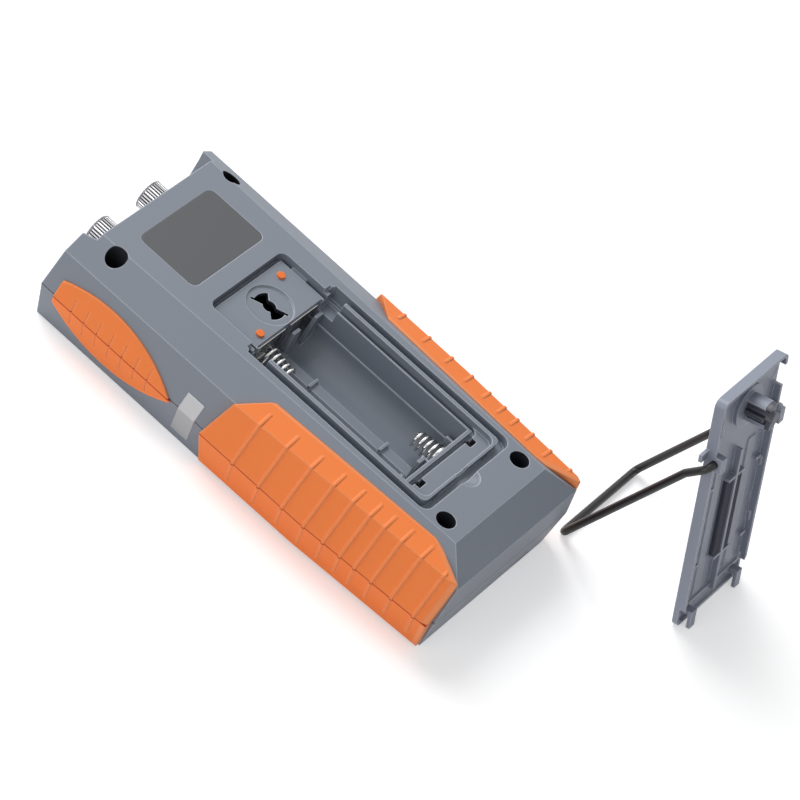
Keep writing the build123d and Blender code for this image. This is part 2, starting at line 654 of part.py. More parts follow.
def build_contacts():
    """Two separate terminals at the lock end and one bridge at the foot end."""
    half = CONTACT_SIZE[0] / 2
    negative = contact_plate(-CELL_X - half, -CELL_X + half, BAY_TOP_Y, -1)
    positive = contact_plate(CELL_X - half, CELL_X + half, BAY_TOP_Y, -1)
    bridge = contact_plate(-CELL_X - half, CELL_X + half, BAY_FOOT_Y, 1)
    relief = box_span((-BRIDGE_HALF - 1, BRIDGE_HALF + 1), (BAY_FOOT_Y - 1, BAY_FOOT_Y + 2), (0, BRIDGE_Z))
    trim = bay_hollow()
    return {"battery_terminal_negative": negative & trim, "battery_terminal_positive": positive & trim,
            "battery_bridge": (bridge - relief) & trim,
            "battery_spring_port_end": coil_spring(-CELL_X, BAY_TOP_Y, -1),
            "battery_spring_foot_end": coil_spring(CELL_X, BAY_FOOT_Y, 1)}


def build_port(sx):
    """Threaded port with a flange behind the end wall and a ferrule bore."""
    tip_y = PORT_END_Y + PORT_LENGTH
    inner_y = PORT_END_Y - WALL
    barrel = along_y(sx * PORT_X, PORT_Z, PORT_BARREL, inner_y, tip_y)
    flange = along_y(sx * PORT_X, PORT_Z, PORT_FLANGE[0], inner_y - PORT_FLANGE[1], inner_y)
    bore = along_y(sx * PORT_X, PORT_Z, PORT_BORE, inner_y - 5, tip_y + 1)
    return barrel + flange - bore


def build_module(sx):
    """Round optical module behind a port."""
    back_y = PORT_END_Y - WALL - PORT_FLANGE[1]
    can = along_y(sx * PORT_X, PORT_Z, MODULE_RADIUS, back_y - MODULE_LENGTH, back_y)
    for dx in (-1.3, 1.3):
        can += along_y(sx * PORT_X + dx, PORT_Z, 0.3, back_y - MODULE_LENGTH - 4, back_y - MODULE_LENGTH)
    return can


def build_cap(sx):
    """Knurled metal dust cap that screws over a port."""
    low_y = PORT_END_Y + FIT
    high_y = low_y + CAP_LENGTH
    cap = along_y(sx * PORT_X, PORT_Z, CAP_RADIUS, low_y, high_y)
    cap = chamfer(cap.faces().sort_by(Axis.Y)[-1].edges(), 0.6)
    cap -= along_y(sx * PORT_X, PORT_Z, PORT_BARREL + CAP_CLEAR, low_y - 1, PORT_END_Y + PORT_LENGTH + FIT)
    knurl = Circle(CAP_RADIUS + 1)
    tooth_points = []
    for index in range(2 * KNURL_COUNT):
        radius = CAP_RADIUS - KNURL_DEPTH * (index % 2)
        angle = math.pi * index / KNURL_COUNT
        tooth_points.append((radius * math.cos(angle), radius * math.sin(angle)))
    knurl -= make_face(Polyline(*tooth_points, close=True))
    length = high_y - low_y - CAP_COLLAR
    return cap - Pos(sx * PORT_X, high_y + 1, PORT_Z) * Rot(90, 0, 0) * extrude(knurl, length + 1)


def build_board():
    """Main circuit board with holes over the posts."""
    board = box_span((-BOARD_HALF_X, BOARD_HALF_X), BOARD_SPAN_Y, (BOARD_Z, BOARD_Z + BOARD_THICK))
    _, inside = case_block(-WALL - BOARD_CLEAR, -WALL - BOARD_CLEAR)
    board = board & inside
    for x, y in SCREW_PLACES:
        board -= upright(x, y, POST_TIP_RADIUS + 0.25, BOARD_Z - 1, BOARD_Z + BOARD_THICK + 1)
    return board


def build_display():
    """Display module between the front panel and the board."""
    width, height = DISPLAY
    return box_span((-width / 2 - 2, width / 2 + 2), (DISPLAY_Y - height / 2 - 2, DISPLAY_Y + height / 2 + 2),
                    (FRONT_PANEL, BOARD_Z))


def build_display_window():
    """Clear window in the pocket of the front panel."""
    width, height = DISPLAY
    grow = DISPLAY_BEZEL - 0.15
    return rounded_prism(width / 2 + grow, DISPLAY_Y - height / 2 - grow, DISPLAY_Y + height / 2 + grow,
                         2.9, FRONT_POCKET - WINDOW_THICK, FRONT_POCKET)


def build_keypad_web():
    """Rubber web round the keys, flat on the inside of the front panel."""
    web = rounded_prism(KEYPAD_SIZE[0] / 2 + 1, KEYPAD_Y - KEYPAD_SIZE[1] / 2 - 1,
                        KEYPAD_Y + KEYPAD_SIZE[1] / 2 + 1, 3.0, FRONT_PANEL, BOARD_Z)
    for x, y in key_places():
        web -= key_prism(x, y, KEY_LIP + 0.2, FRONT_PANEL - 1, BOARD_Z + 1)
    return web


def build_key(x, y):
    """Key cap with its retaining lip and the contact pill that meets the board."""
    cap = key_prism(x, y, 0, KEY_FACE_Z, FRONT_PANEL + KEY_FLANGE)
    cap = chamfer(cap.faces().sort_by(Axis.Z)[0].edges(), KEY_EDGE)
    lip = key_prism(x, y, KEY_LIP, FRONT_PANEL, FRONT_PANEL + KEY_FLANGE)
    pill = upright(x, y, PILL_RADIUS, FRONT_PANEL + KEY_FLANGE, BOARD_Z - KEY_TRAVEL - 0.1)
    return cap + lip + pill


def build_bail():
    """Bent wire bail about its pivot line, folded flat, with its pins turned inwards."""
    pin = PIVOT_X - DOOR_HALF + PIN_GRIP
    right = [(PIVOT_X, -BAIL_LENGTH, -BAIL_DROP), (PIVOT_X, -BAIL_KINK, -BAIL_DROP), (PIVOT_X, 0, 0),
             (PIVOT_X - pin, 0, 0)]
    left = [(-x, y, z) for x, y, z in reversed(right)]
    corners = left + right
    path = FilletPolyline(*corners, radius=BAIL_BEND)
    section = Plane(origin=path @ 0, z_dir=path % 0) * Circle(BAIL_WIRE)
    return sweep(section, path=path)


def local_y(meter_y):
    """Place along the door of a place along the meter's back, when the door is closed."""
    return meter_y - RECESS_FOOT_Y - DOOR_GAP


def door_rim():
    """Rim wall round the door, low along the foot ledge, with its slit and notches."""
    top = DOOR_LENGTH
    inner_half = DOOR_HALF - DOOR_RIM_WALL
    inner_radius = DOOR_RADIUS - DOOR_RIM_WALL / 2
    rim = rounded_prism(DOOR_HALF, DOOR_LEDGE, top, DOOR_RADIUS, DOOR_PLATE, DOOR_RIM)
    rim -= rounded_prism(inner_half, DOOR_LEDGE + DOOR_RIM_WALL, top - DOOR_RIM_WALL, inner_radius,
                         DOOR_PLATE, DOOR_RIM + 1)
    rim -= box_span((-inner_half, inner_half), (0, 2 * DOOR_LEDGE), (DOOR_FOOT_RIM, DOOR_RIM + 1))
    low = rounded_prism(DOOR_HALF, 0, 3 * DOOR_LEDGE, DOOR_RADIUS, DOOR_PLATE, DOOR_FOOT_RIM)
    low -= rounded_prism(inner_half, DOOR_RIM_WALL, 4 * DOOR_LEDGE, inner_radius, DOOR_PLATE, DOOR_RIM)
    rim += low
    slit_x = -DOOR_HALF + DOOR_RIM_WALL / 2
    rim -= box_span((slit_x - RIM_SLIT_WIDTH / 2, slit_x + RIM_SLIT_WIDTH / 2), RIM_SLIT_Y,
                    (DOOR_PLATE + 0.5, DOOR_RIM + 1))
    rim -= box_span((DOOR_HALF - DOOR_RIM_WALL, DOOR_HALF + 1), RIM_NOTCH_Y, (DOOR_PLATE, DOOR_RIM + 1))
    for y in RIM_STEPS_Y:
        length, thick = RIM_STEP
        rim += box_span((DOOR_HALF - DOOR_RIM_WALL - thick, DOOR_HALF), (y, y + length),
                        (DOOR_PLATE, (DOOR_PLATE + DOOR_RIM) / 2))
    return rim


def door_stiffeners():
    """Bands, spine rib, cross ribs and gussets on the inside of the door."""
    foam_y = local_y(FOAM_Y)
    floor_z = DOOR_PLATE - 0.2
    work = box_span((-SPINE_WIDTH / 2, SPINE_WIDTH / 2), SPINE_Y, (floor_z, DOOR_PLATE + SPINE_RISE))
    for sx in (-1, 1):
        work += box_span(sorted((sx * BAND_X[0], sx * BAND_X[1])), BAND_Y, (floor_z, DOOR_PLATE + BAND_RISE))
        width, thick, rise = GUSSET_SIZE
        for y in GUSSET_Y[0 if sx < 0 else 1]:
            work += box_span((sx * GUSSET_X - width / 2, sx * GUSSET_X + width / 2), (y, y + thick),
                             (floor_z, DOOR_PLATE + rise))
    for end in (-1, 1):
        rib_y = foam_y + end * (FOAM[1] / 2 + RIB_WALL / 2 + 0.2)
        work += box_span((-FOAM[0] / 2, FOAM[0] / 2), (rib_y - RIB_WALL / 2, rib_y + RIB_WALL / 2),
                         (floor_z, DOOR_PLATE + SPINE_RISE))
    return work


def door_hooks():
    """Two hooks that reach under the foot of the recess."""
    hooks = Part()
    for sx in (-1, 1):
        span_x = (sx * HOOK_X - HOOK_WIDTH / 2, sx * HOOK_X + HOOK_WIDTH / 2)
        hooks += box_span(span_x, HOOK_POST_Y, (DOOR_PLATE - 0.2, HOOK_TONGUE_Z[1]))
        hooks += box_span(span_x, (HOOK_TONGUE_Y, HOOK_POST_Y[1]), HOOK_TONGUE_Z)
    return hooks


def lock_guards(lock_y):
    """Two curved walls on the boss that shield the lock's stem."""
    inner, outer = LOCK_GUARD
    ring = Circle(outer) - Circle(inner)
    guards = Part()
    for start in (LOCK_ARM_ANGLE, LOCK_ARM_ANGLE + 180):
        shell = ring & (Rot(0, 0, start) * sector(outer + 1, LOCK_GUARD_HALF_ANGLE))
        guards += Pos(0, lock_y, BOSS_RISE - 0.2) * extrude(shell, LOCK_GUARD_RISE + 0.2)
    return guards


def build_door():
    """Battery door in its own frame: z = 0 is the outer face, +Z points into the bay, foot end at y = 0."""
    plate = rounded_prism(DOOR_HALF, 0, DOOR_LENGTH, DOOR_RADIUS, 0, DOOR_PLATE)
    lock_y = local_y(LOCK_Y)
    door = plate + door_rim() + door_stiffeners() + door_hooks()
    door += upright(0, lock_y, BOSS_RADIUS, DOOR_PLATE, BOSS_RISE) + lock_guards(lock_y)
    pivot_y = DOOR_LENGTH - PIVOT_FROM_TOP
    for sx in (-1, 1):
        lug_x = sorted((sx * DOOR_HALF, sx * (DOOR_HALF - LUG_LENGTH)))
        door += box_span(lug_x, (pivot_y - LUG_HALF, pivot_y + LUG_HALF), (0, PIVOT_DEPTH + LUG_HALF))
        hole_x = sx * (DOOR_HALF - PIN_GRIP - 0.2 + 5)
        door -= Pos(hole_x, pivot_y, PIVOT_DEPTH) * Rot(0, 90, 0) * Cylinder(BAIL_WIRE + RUNNING_GAP, 10)
        wing_x = sorted((sx * (DOOR_HALF - 1), sx * (DOOR_HALF + WING_LENGTH)))
        door += box_span(wing_x, WING_Y, (0, WING_THICK))
        for y in DIMPLE_Y:
            door -= upright(sx * DIMPLE_X, y, DIMPLE_RADIUS, DOOR_PLATE - DIMPLE_DEPTH, DOOR_RIM)
    door -= upright(0, lock_y, STEM_RADIUS + RUNNING_GAP, -1, DOOR_RIM)
    door -= upright(0, lock_y, KNOB_RADIUS + 0.1, -1, KNOB_HEAD)
    return door


def build_foam():
    """Two foam strips, one on each side of the spine rib, that press on the cells, in the door's frame."""
    foam_y = local_y(FOAM_Y)
    strips = []
    for sx in (-1, 1):
        span_x = sorted((sx * (SPINE_WIDTH / 2 + RUNNING_GAP), sx * FOAM[0] / 2))
        strips.append(box_span(span_x, (foam_y - FOAM[1] / 2, foam_y + FOAM[1] / 2),
                               (DOOR_PLATE, DOOR_PLATE + FOAM[2])))
    return Compound(children=strips)


def build_lock():
    """Quarter-turn lock in the door's frame: slotted head outside, crossed stem and two wings inside."""
    lock_y = local_y(LOCK_Y)
    wing_z = BOSS_RISE + LOCK_GUARD_RISE + RUNNING_GAP
    tip_z = wing_z + WING_RISE + TIP_RISE
    lock = upright(0, lock_y, KNOB_RADIUS, 0, KNOB_HEAD - RUNNING_GAP)
    lock -= box_span((-KNOB_RADIUS + 0.8, KNOB_RADIUS - 0.8), (lock_y - 0.7, lock_y + 0.7), (-1, 0.5))
    lock += upright(0, lock_y, STEM_RADIUS, 0.5, tip_z)
    reach, width = CROSS_ARM
    cross = Rectangle(2 * reach, width) + Rectangle(width, 2 * reach)
    arms = Rot(0, 0, LOCK_ARM_ANGLE) * extrude(cross, wing_z - BOSS_RISE)
    lock += Pos(0, lock_y, BOSS_RISE + RUNNING_GAP) * arms
    for start in (LOCK_ARM_ANGLE, LOCK_ARM_ANGLE + 180):
        wing = Rot(0, 0, start) * sector(WING_RADIUS, WING_HALF_ANGLE)
        lock += Pos(0, lock_y, wing_z) * extrude(wing, WING_RISE)
    return lock


def door_lean():
    """Angle of the door from upright that puts its foot edge and the bail's bar on the floor."""
    opened = math.radians(BAIL_OPEN)
    bar_y = DOOR_LENGTH - PIVOT_FROM_TOP - BAIL_LENGTH * math.cos(opened) + BAIL_DROP * math.sin(opened)
    bar_depth = PIVOT_DEPTH - BAIL_LENGTH * math.sin(opened) - BAIL_DROP * math.cos(opened)
    low, high = 0.0, BAIL_OPEN
    for _ in range(50):
        lean = (low + high) / 2
        turn = math.radians(lean)
        bar_z = bar_y * math.cos(turn) + bar_depth * math.sin(turn)
        if bar_z > BAIL_WIRE:
            low = lean
        else:
            high = lean
    return low


def main():
    os.makedirs("parts", exist_ok=True)
    rear, front = case_block()
    case = rear + front
    parts = {"back_housing": build_back_housing(), "front_housing": build_front_housing()}
    parts.update(build_grips(case))
    parts["nameplate"] = rounded_prism(NAMEPLATE[0] / 2 - 0.05, NAMEPLATE_Y - NAMEPLATE[1] / 2 + 0.05,
                                       NAMEPLATE_Y + NAMEPLATE[1] / 2 - 0.05, NAMEPLATE_RADIUS,
                                       BACK_Z - NAMEPLATE[2], BACK_Z)
    parts["seal_label"] = build_seal_label(case)
    parts["case_screws"] = build_case_screws()
    parts.update(build_contacts())
    for name, sx in (("detector", -1), ("source", 1)):
        parts[f"{name}_port"] = build_port(sx)
        parts[f"{name}_module"] = build_module(sx)
        parts[f"{name}_cap"] = build_cap(sx)
    for index, (x, y) in enumerate(PEG_PLACES, 1):
        parts[f"recess_peg_{index}"] = upright(x, y, PEG_RADIUS, RECESS_Z - 1.2, RECESS_Z + PEG_HEIGHT)
    parts["main_board"] = build_board()
    parts["display_module"] = build_display()
    parts["display_window"] = build_display_window()
    parts["keypad_web"] = build_keypad_web()
    for index, (x, y) in enumerate(key_places(), 1):
        parts[f"key_{index}"] = build_key(x, y)
    lean = door_lean()
    stand = Location((*DOOR_STAND, 0), (90 - lean, 0, 0))
    parts["battery_door"] = stand * build_door()
    parts["door_foam"] = stand * build_foam()
    parts["lock_knob"] = stand * build_lock()
    pivot = Location((0, DOOR_LENGTH - PIVOT_FROM_TOP, PIVOT_DEPTH))
    parts["bail_stand"] = stand * pivot * Location((0, 0, 0), (BAIL_OPEN, 0, 0)) * build_bail()
    print("door leans", round(lean, 3))
    for name, solid in parts.items():
        export_step(solid, f"parts/{name}.step")


main()
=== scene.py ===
"""Looks of a handheld optical multimeter that lies on its face with its battery door taken off.

Every length is in metres in the part's own frame: +Z runs out of the meter's back, +Y towards the ports.
"""
import json
import logging
import math
from dataclasses import dataclass, field
from enum import Enum
from typing import Any, Callable, NamedTuple, Sequence

import bmesh
import bpy
from mathutils import Matrix, Vector, noise

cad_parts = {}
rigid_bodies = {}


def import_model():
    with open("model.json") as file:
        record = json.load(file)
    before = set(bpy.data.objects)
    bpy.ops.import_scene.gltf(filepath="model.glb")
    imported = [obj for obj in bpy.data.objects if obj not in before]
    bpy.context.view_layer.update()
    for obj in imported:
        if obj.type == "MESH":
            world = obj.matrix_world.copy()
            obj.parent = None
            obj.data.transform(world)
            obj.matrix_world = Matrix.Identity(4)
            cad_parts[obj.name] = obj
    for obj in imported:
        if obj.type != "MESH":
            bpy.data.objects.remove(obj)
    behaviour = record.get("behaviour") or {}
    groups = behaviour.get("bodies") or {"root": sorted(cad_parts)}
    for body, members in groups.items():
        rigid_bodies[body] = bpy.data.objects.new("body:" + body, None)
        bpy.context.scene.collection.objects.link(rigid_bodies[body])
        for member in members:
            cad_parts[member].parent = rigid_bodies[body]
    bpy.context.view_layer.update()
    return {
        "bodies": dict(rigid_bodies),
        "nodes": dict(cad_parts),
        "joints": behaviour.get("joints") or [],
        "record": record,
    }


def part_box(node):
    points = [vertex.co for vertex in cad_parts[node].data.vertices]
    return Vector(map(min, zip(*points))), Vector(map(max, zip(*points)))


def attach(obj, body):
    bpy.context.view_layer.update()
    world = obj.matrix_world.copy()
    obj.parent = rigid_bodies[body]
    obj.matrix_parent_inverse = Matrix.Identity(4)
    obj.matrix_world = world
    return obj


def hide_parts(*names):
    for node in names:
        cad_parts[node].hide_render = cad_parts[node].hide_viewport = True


LOG = logging.getLogger("multimeter")
MM = 0.001
METER_BODY = "meter"
DOOR_BODY = "battery_door"
SIDES = ("left", "right")
PARTING_Z = 13.5 * MM
PORT_X = 12.0 * MM
PORT_Z = 18.0 * MM
CAP_RIM_Y = 77.9 * MM
HOLLOW_FLOOR_Z = 14.0 * MM
GRIP_INNER_TOP = (26.8, 0.0)
GRIP_INNER_FOOT = (23.9, -59.0)
GRIP_FOOT = (30.9, -72.3)
GRIP_LINES = ((GRIP_INNER_TOP, (0.9988, -0.0491)), (GRIP_INNER_FOOT, (0.8849, 0.4657)),
              (GRIP_FOOT, (0.0, 1.0)))
MERGE = 0.002 * MM

BROAD_SCALE = 28.0
FINE_DETAIL = 3.0
BROAD_DETAIL = 2.0
BUMP_HEIGHT = 0.1 * MM
EDGE_SAMPLES = 6
EDGE_LIMITS = {"From Min": 0.998, "From Max": 0.965}
SPECK_LIMITS = {"To Min": 0.95, "To Max": 1.05}
ROUGHNESS_LIMITS = {"To Min": -0.05, "To Max": 0.05}
CLEAR_TRANSMISSION = 0.85
CLEAR_IOR = 1.49
RUBBER_SPECULAR = 0.3
CORNER_WEIGHT = 60

CUT_TOLERANCE = 1e-7

Colour = tuple[float, float, float]
Socket = bpy.types.NodeSocket
Value = Socket | float
Tree = bpy.types.NodeTree
Material = bpy.types.Material
Piece = bpy.types.Object


class Well(NamedTuple):
    """Deep round hole in the back: its middle, radius and the height of its mouth."""

    x: float
    y: float
    radius: float
    mouth: float


WELLS = (Well(27.1 * MM, 62.7 * MM, 3.1 * MM, 31.8 * MM), Well(18.49 * MM, -56.6 * MM, 3.1 * MM, 31.8 * MM),
         Well(0.0, 24.75 * MM, 6.6 * MM, 29.2 * MM), Well(12.6 * MM, -43.4 * MM, 1.75 * MM, 29.7 * MM))


class Family(Enum):
    """The kinds of surface that the meter is made of."""

    MOULDED = "moulded"
    RUBBER = "rubber"
    METAL = "metal"
    PAINTED = "painted"
    CLEAR = "clear"
    FOAM = "foam"


def srgb(red: int, green: int, blue: int) -> Colour:
    """Turns a colour of 0 to 255 into scene linear values.

    Args:
        red: Red level as it shows on a screen.
        green: Green level.
        blue: Blue level.

    Returns:
        The three linear values.
    """
    def linear(level: int) -> float:
        share = level / 255
        return share / 12.92 if share <= 0.04045 else ((share + 0.055) / 1.055) ** 2.4

    return linear(red), linear(green), linear(blue)


def feed(tree: Tree, socket: Socket, value: Value) -> None:
    """Links a socket into an input, or sets a number on it.

    Args:
        tree: The tree.
        socket: The input.
        value: A socket or a number.
    """
    if isinstance(value, Socket):
        tree.links.new(value, socket)
    else:
        socket.default_value = value


def maths(tree: Tree, operation: str, first: Value, second: Value = 0.0) -> Socket:
    """Adds one maths node to a shader tree.

    Args:
        tree: The tree.
        operation: Name of the operation.
        first: A socket or a number.
        second: A socket or a number.

    Returns:
        The node's result.
    """
    node = tree.nodes.new("ShaderNodeMath")
    node.operation = operation
    for socket, value in zip(node.inputs, (first, second)):
        feed(tree, socket, value)
    return node.outputs["Value"]


def ranged(tree: Tree, value: Socket, limits: dict[str, Value]) -> Socket:
    """Maps a value from one range to another, clamped at both ends.

    Args:
        tree: The tree.
        value: The value's socket.
        limits: Sockets or numbers for the limits that differ from 0 and 1, by input name.

    Returns:
        The mapped value.
    """
    node = tree.nodes.new("ShaderNodeMapRange")
    tree.links.new(value, node.inputs["Value"])
    for name, limit in limits.items():
        feed(tree, node.inputs[name], limit)
    return node.outputs["Result"]


def blend(tree: Tree, share: Socket, first: Socket, second: Socket) -> Socket:
    """Mixes two colours.

    Args:
        tree: The tree.
        share: How much of the second colour shows.
        first: The first colour.
        second: The second colour.

    Returns:
        The mixed colour.
    """
    node = tree.nodes.new("ShaderNodeMix")
    node.data_type = "RGBA"
    for name, value in (("Factor", share), ("A", first), ("B", second)):
        tree.links.new(value, node.inputs[name])
    return node.outputs["Result"]


class Reach:
    """Distances over the meter's surface, worked out from its Object coordinates."""

    def __init__(self, tree: Tree, place: Socket) -> None:
        """Splits the coordinates.

        Args:
            tree: The tree that the nodes are built in.
            place: The Object coordinates.
        """
        self.tree = tree
        split = tree.nodes.new("ShaderNodeSeparateXYZ")
        tree.links.new(place, split.inputs["Vector"])
        self.x, self.y, self.z = (split.outputs[axis] for axis in "XYZ")

    def of(self, operation: str, first: Value, second: Value = 0.0) -> Socket:
        """Adds one maths node to the tree.

        Args:
            operation: Name of the operation.
            first: A socket or a number.
            second: A socket or a number.

        Returns:
            The node's result.
        """
        return maths(self.tree, operation, first, second)

    def between(self, across: Socket, along: Socket) -> Socket:
        """Length of a step in two directions.

        Args:
            across: The step in the one direction.
            along: The step in the other.

        Returns:
            The length.
        """
        return self.of("SQRT", self.of("ADD", self.of("MULTIPLY", across, across),
                                       self.of("MULTIPLY", along, along)))

    def from_parting(self) -> Socket:
        """Height above or below the line where the two housings meet.

        Returns:
            The distance.
        """
        return self.of("ABSOLUTE", self.of("SUBTRACT", self.z, PARTING_Z))

    def from_port_axis(self) -> Socket:
        """Distance from the nearer port's axis.

        Returns:
            The distance.
        """
        across = self.of("SUBTRACT", self.of("ABSOLUTE", self.x), PORT_X)
        return self.between(across, self.of("SUBTRACT", self.z, PORT_Z))

    def from_hollows(self) -> Socket:
        """Distance outside the deep holes in the back: screw wells, keyhole and hook slots.

        Returns:
            The distance, below nought inside a hole.
        """
        mirrored = self.of("ABSOLUTE", self.x)
        nearest: Value = 1.0
        for well in WELLS:
            reach = self.between(self.of("SUBTRACT", mirrored, well.x), self.of("SUBTRACT", self.y, well.y))
            above = self.of("SUBTRACT", self.z, well.mouth)
            outside = self.of("MAXIMUM", self.of("SUBTRACT", reach, well.radius), above)
            nearest = self.of("MINIMUM", nearest, outside)
        return self.of("MAXIMUM", nearest, self.of("SUBTRACT", HOLLOW_FLOOR_Z, self.z))

    def from_cap_rim(self) -> Socket:
        """Distance short of the caps' far rim.

        Returns:
            The distance, below nought on the rim and the plain end.
        """
        return self.of("SUBTRACT", CAP_RIM_Y, self.y)

    def from_grip_edge(self) -> Socket:
        """Plan distance inside the inner and foot edges of the big grips.

        Returns:
            The distance.
        """
        mirrored = self.of("ABSOLUTE", self.x)
        nearest: Value = 1.0
        for (x, y), (across, along) in GRIP_LINES:
            sideways = self.of("MULTIPLY", self.of("SUBTRACT", mirrored, x * MM), across)
            lengthwise = self.of("MULTIPLY", self.of("SUBTRACT", self.y, y * MM), along)
            nearest = self.of("MINIMUM", nearest, self.of("ADD", sideways, lengthwise))
        return nearest


class NodeGroups:
    """Shader node groups that several finishes share, each built once."""

    def __init__(self) -> None:
        """Builds the empty register."""
        self._made: dict[str, Tree] = {}

    def _start(self, name: str, takes: dict[str, str], gives: dict[str, str]) -> Tree:
        """Starts a group with its sockets and remembers it.

        Args:
            name: Name of the group.
            takes: Kind of each input, by name.
            gives: Kind of each output, by name.

        Returns:
            The group without nodes.
        """
        tree = bpy.data.node_groups.new(name, "ShaderNodeTree")
        for way, sockets in (("INPUT", takes), ("OUTPUT", gives)):
            for label, kind in sockets.items():
                tree.interface.new_socket(name=label, in_out=way, socket_type=f"NodeSocket{kind}")
        self._made[name] = tree
        return tree

    def surface_grain(self) -> Tree:
        """Fine moulded grain: a colour that drifts a little, a painted highlight along the rounded edges, a
        roughness and a normal.

        Returns:
            The node group.
        """
        if "surface_grain" in self._made:
            return self._made["surface_grain"]
        takes = {"Colour": "Color", "Edge Highlight Colour": "Color", "Grain Scale": "Float", "Grain Depth": "Float",
                 "Drift": "Float", "Roughness": "Float", "Edge Width": "Float", "Edge Highlight Amount": "Float"}
        tree = self._start("surface_grain", takes,
                           {"Colour": "Color", "Roughness": "Float", "Normal": "Vector"})
        add = tree.nodes.new
        link = tree.links.new
        inputs, outputs = add("NodeGroupInput").outputs, add("NodeGroupOutput").inputs
        place = add("ShaderNodeTexCoord")
        fine, broad = add("ShaderNodeTexNoise"), add("ShaderNodeTexNoise")
        fine.inputs["Detail"].default_value = FINE_DETAIL
        broad.inputs["Scale"].default_value = BROAD_SCALE
        broad.inputs["Detail"].default_value = BROAD_DETAIL
        link(place.outputs["Object"], fine.inputs["Vector"])
        link(place.outputs["Object"], broad.inputs["Vector"])
        link(inputs["Grain Scale"], fine.inputs["Scale"])
        soft = add("ShaderNodeBevel")
        soft.samples = EDGE_SAMPLES
        link(inputs["Edge Width"], soft.inputs["Radius"])
        bump = add("ShaderNodeBump")
        bump.inputs["Distance"].default_value = BUMP_HEIGHT
        link(inputs["Grain Depth"], bump.inputs["Strength"])
        link(fine.outputs["Fac"], bump.inputs["Height"])
        link(soft.outputs["Normal"], bump.inputs["Normal"])
        # Painted highlight: where the rounded normal turns away from the flat face, the colour is lightened
        # towards the second colour, along every edge.
        geometry, dot = add("ShaderNodeNewGeometry"), add("ShaderNodeVectorMath")
        dot.operation = "DOT_PRODUCT"
        link(geometry.outputs["True Normal"], dot.inputs[0])
        link(soft.outputs["Normal"], dot.inputs[1])
        edge = ranged(tree, dot.outputs["Value"], EDGE_LIMITS)
        edge_highlight_tinted = blend(tree, maths(tree, "MULTIPLY", edge, inputs["Edge Highlight Amount"]), inputs["Colour"],
                     inputs["Edge Highlight Colour"])
        speck = ranged(tree, fine.outputs["Fac"], SPECK_LIMITS)
        sway = ranged(tree, broad.outputs["Fac"],
                      {"To Min": 1.0, "To Max": maths(tree, "ADD", 1.0, inputs["Drift"])})
        shade = add("ShaderNodeVectorMath")
        shade.operation = "SCALE"
        link(edge_highlight_tinted, shade.inputs[0])
        link(maths(tree, "MULTIPLY", sway, speck), shade.inputs["Scale"])
        rough = ranged(tree, broad.outputs["Fac"], ROUGHNESS_LIMITS)
        link(shade.outputs["Vector"], outputs["Colour"])
        link(maths(tree, "ADD", inputs["Roughness"], rough), outputs["Roughness"])
        link(bump.outputs["Normal"], outputs["Normal"])
        return tree

    def band(self, name: str, chain: Callable[[Reach], Socket]) -> Tree:
        """Blends two colours by where a worked-out distance falls between two limits.

        Args:
            name: Name of the group.
            chain: Builds the distance and returns its socket.

        Returns:
            The node group, with Colour, Other Colour, Near and Far as inputs and Colour as output.
        """
        if name in self._made:
            return self._made[name]
        takes = {"Colour": "Color", "Other Colour": "Color", "Near": "Float", "Far": "Float"}
        tree = self._start(name, takes, {"Colour": "Color"})
        add = tree.nodes.new
        inputs, outputs = add("NodeGroupInput").outputs, add("NodeGroupOutput").inputs
        reach = Reach(tree, add("ShaderNodeTexCoord").outputs["Object"])
        share = ranged(tree, chain(reach), {"From Min": inputs["Near"], "From Max": inputs["Far"]})
        tree.links.new(blend(tree, share, inputs["Other Colour"], inputs["Colour"]), outputs["Colour"])
        return tree


class Band(Enum):
    """Places on the meter where a finish paints light into its colour: shade in gaps and holes, dark
    reflections in the knurl, a highlight on the grip chamfer.
    """

    PARTING = "parting_gap_shade"
    KNURL = "knurl_valley_dark_reflection"
    HOLLOW = "deep_hole_shade"
    CAP_RIM = "cap_rim"
    GRIP_EDGE_HIGHLIGHT = "grip_edge"


BAND_CHAINS: dict[Band, Callable[[Reach], Socket]] = {
    Band.PARTING: Reach.from_parting,
    Band.KNURL: Reach.from_port_axis,
    Band.HOLLOW: Reach.from_hollows,
    Band.CAP_RIM: Reach.from_cap_rim,
    Band.GRIP_EDGE_HIGHLIGHT: Reach.from_grip_edge,
}


@dataclass(frozen=True)
class Stripe:
    """Painted light that a finish takes at one band, fading out between two distances."""

    band: Band
    colour: Colour
    near: float
    far: float


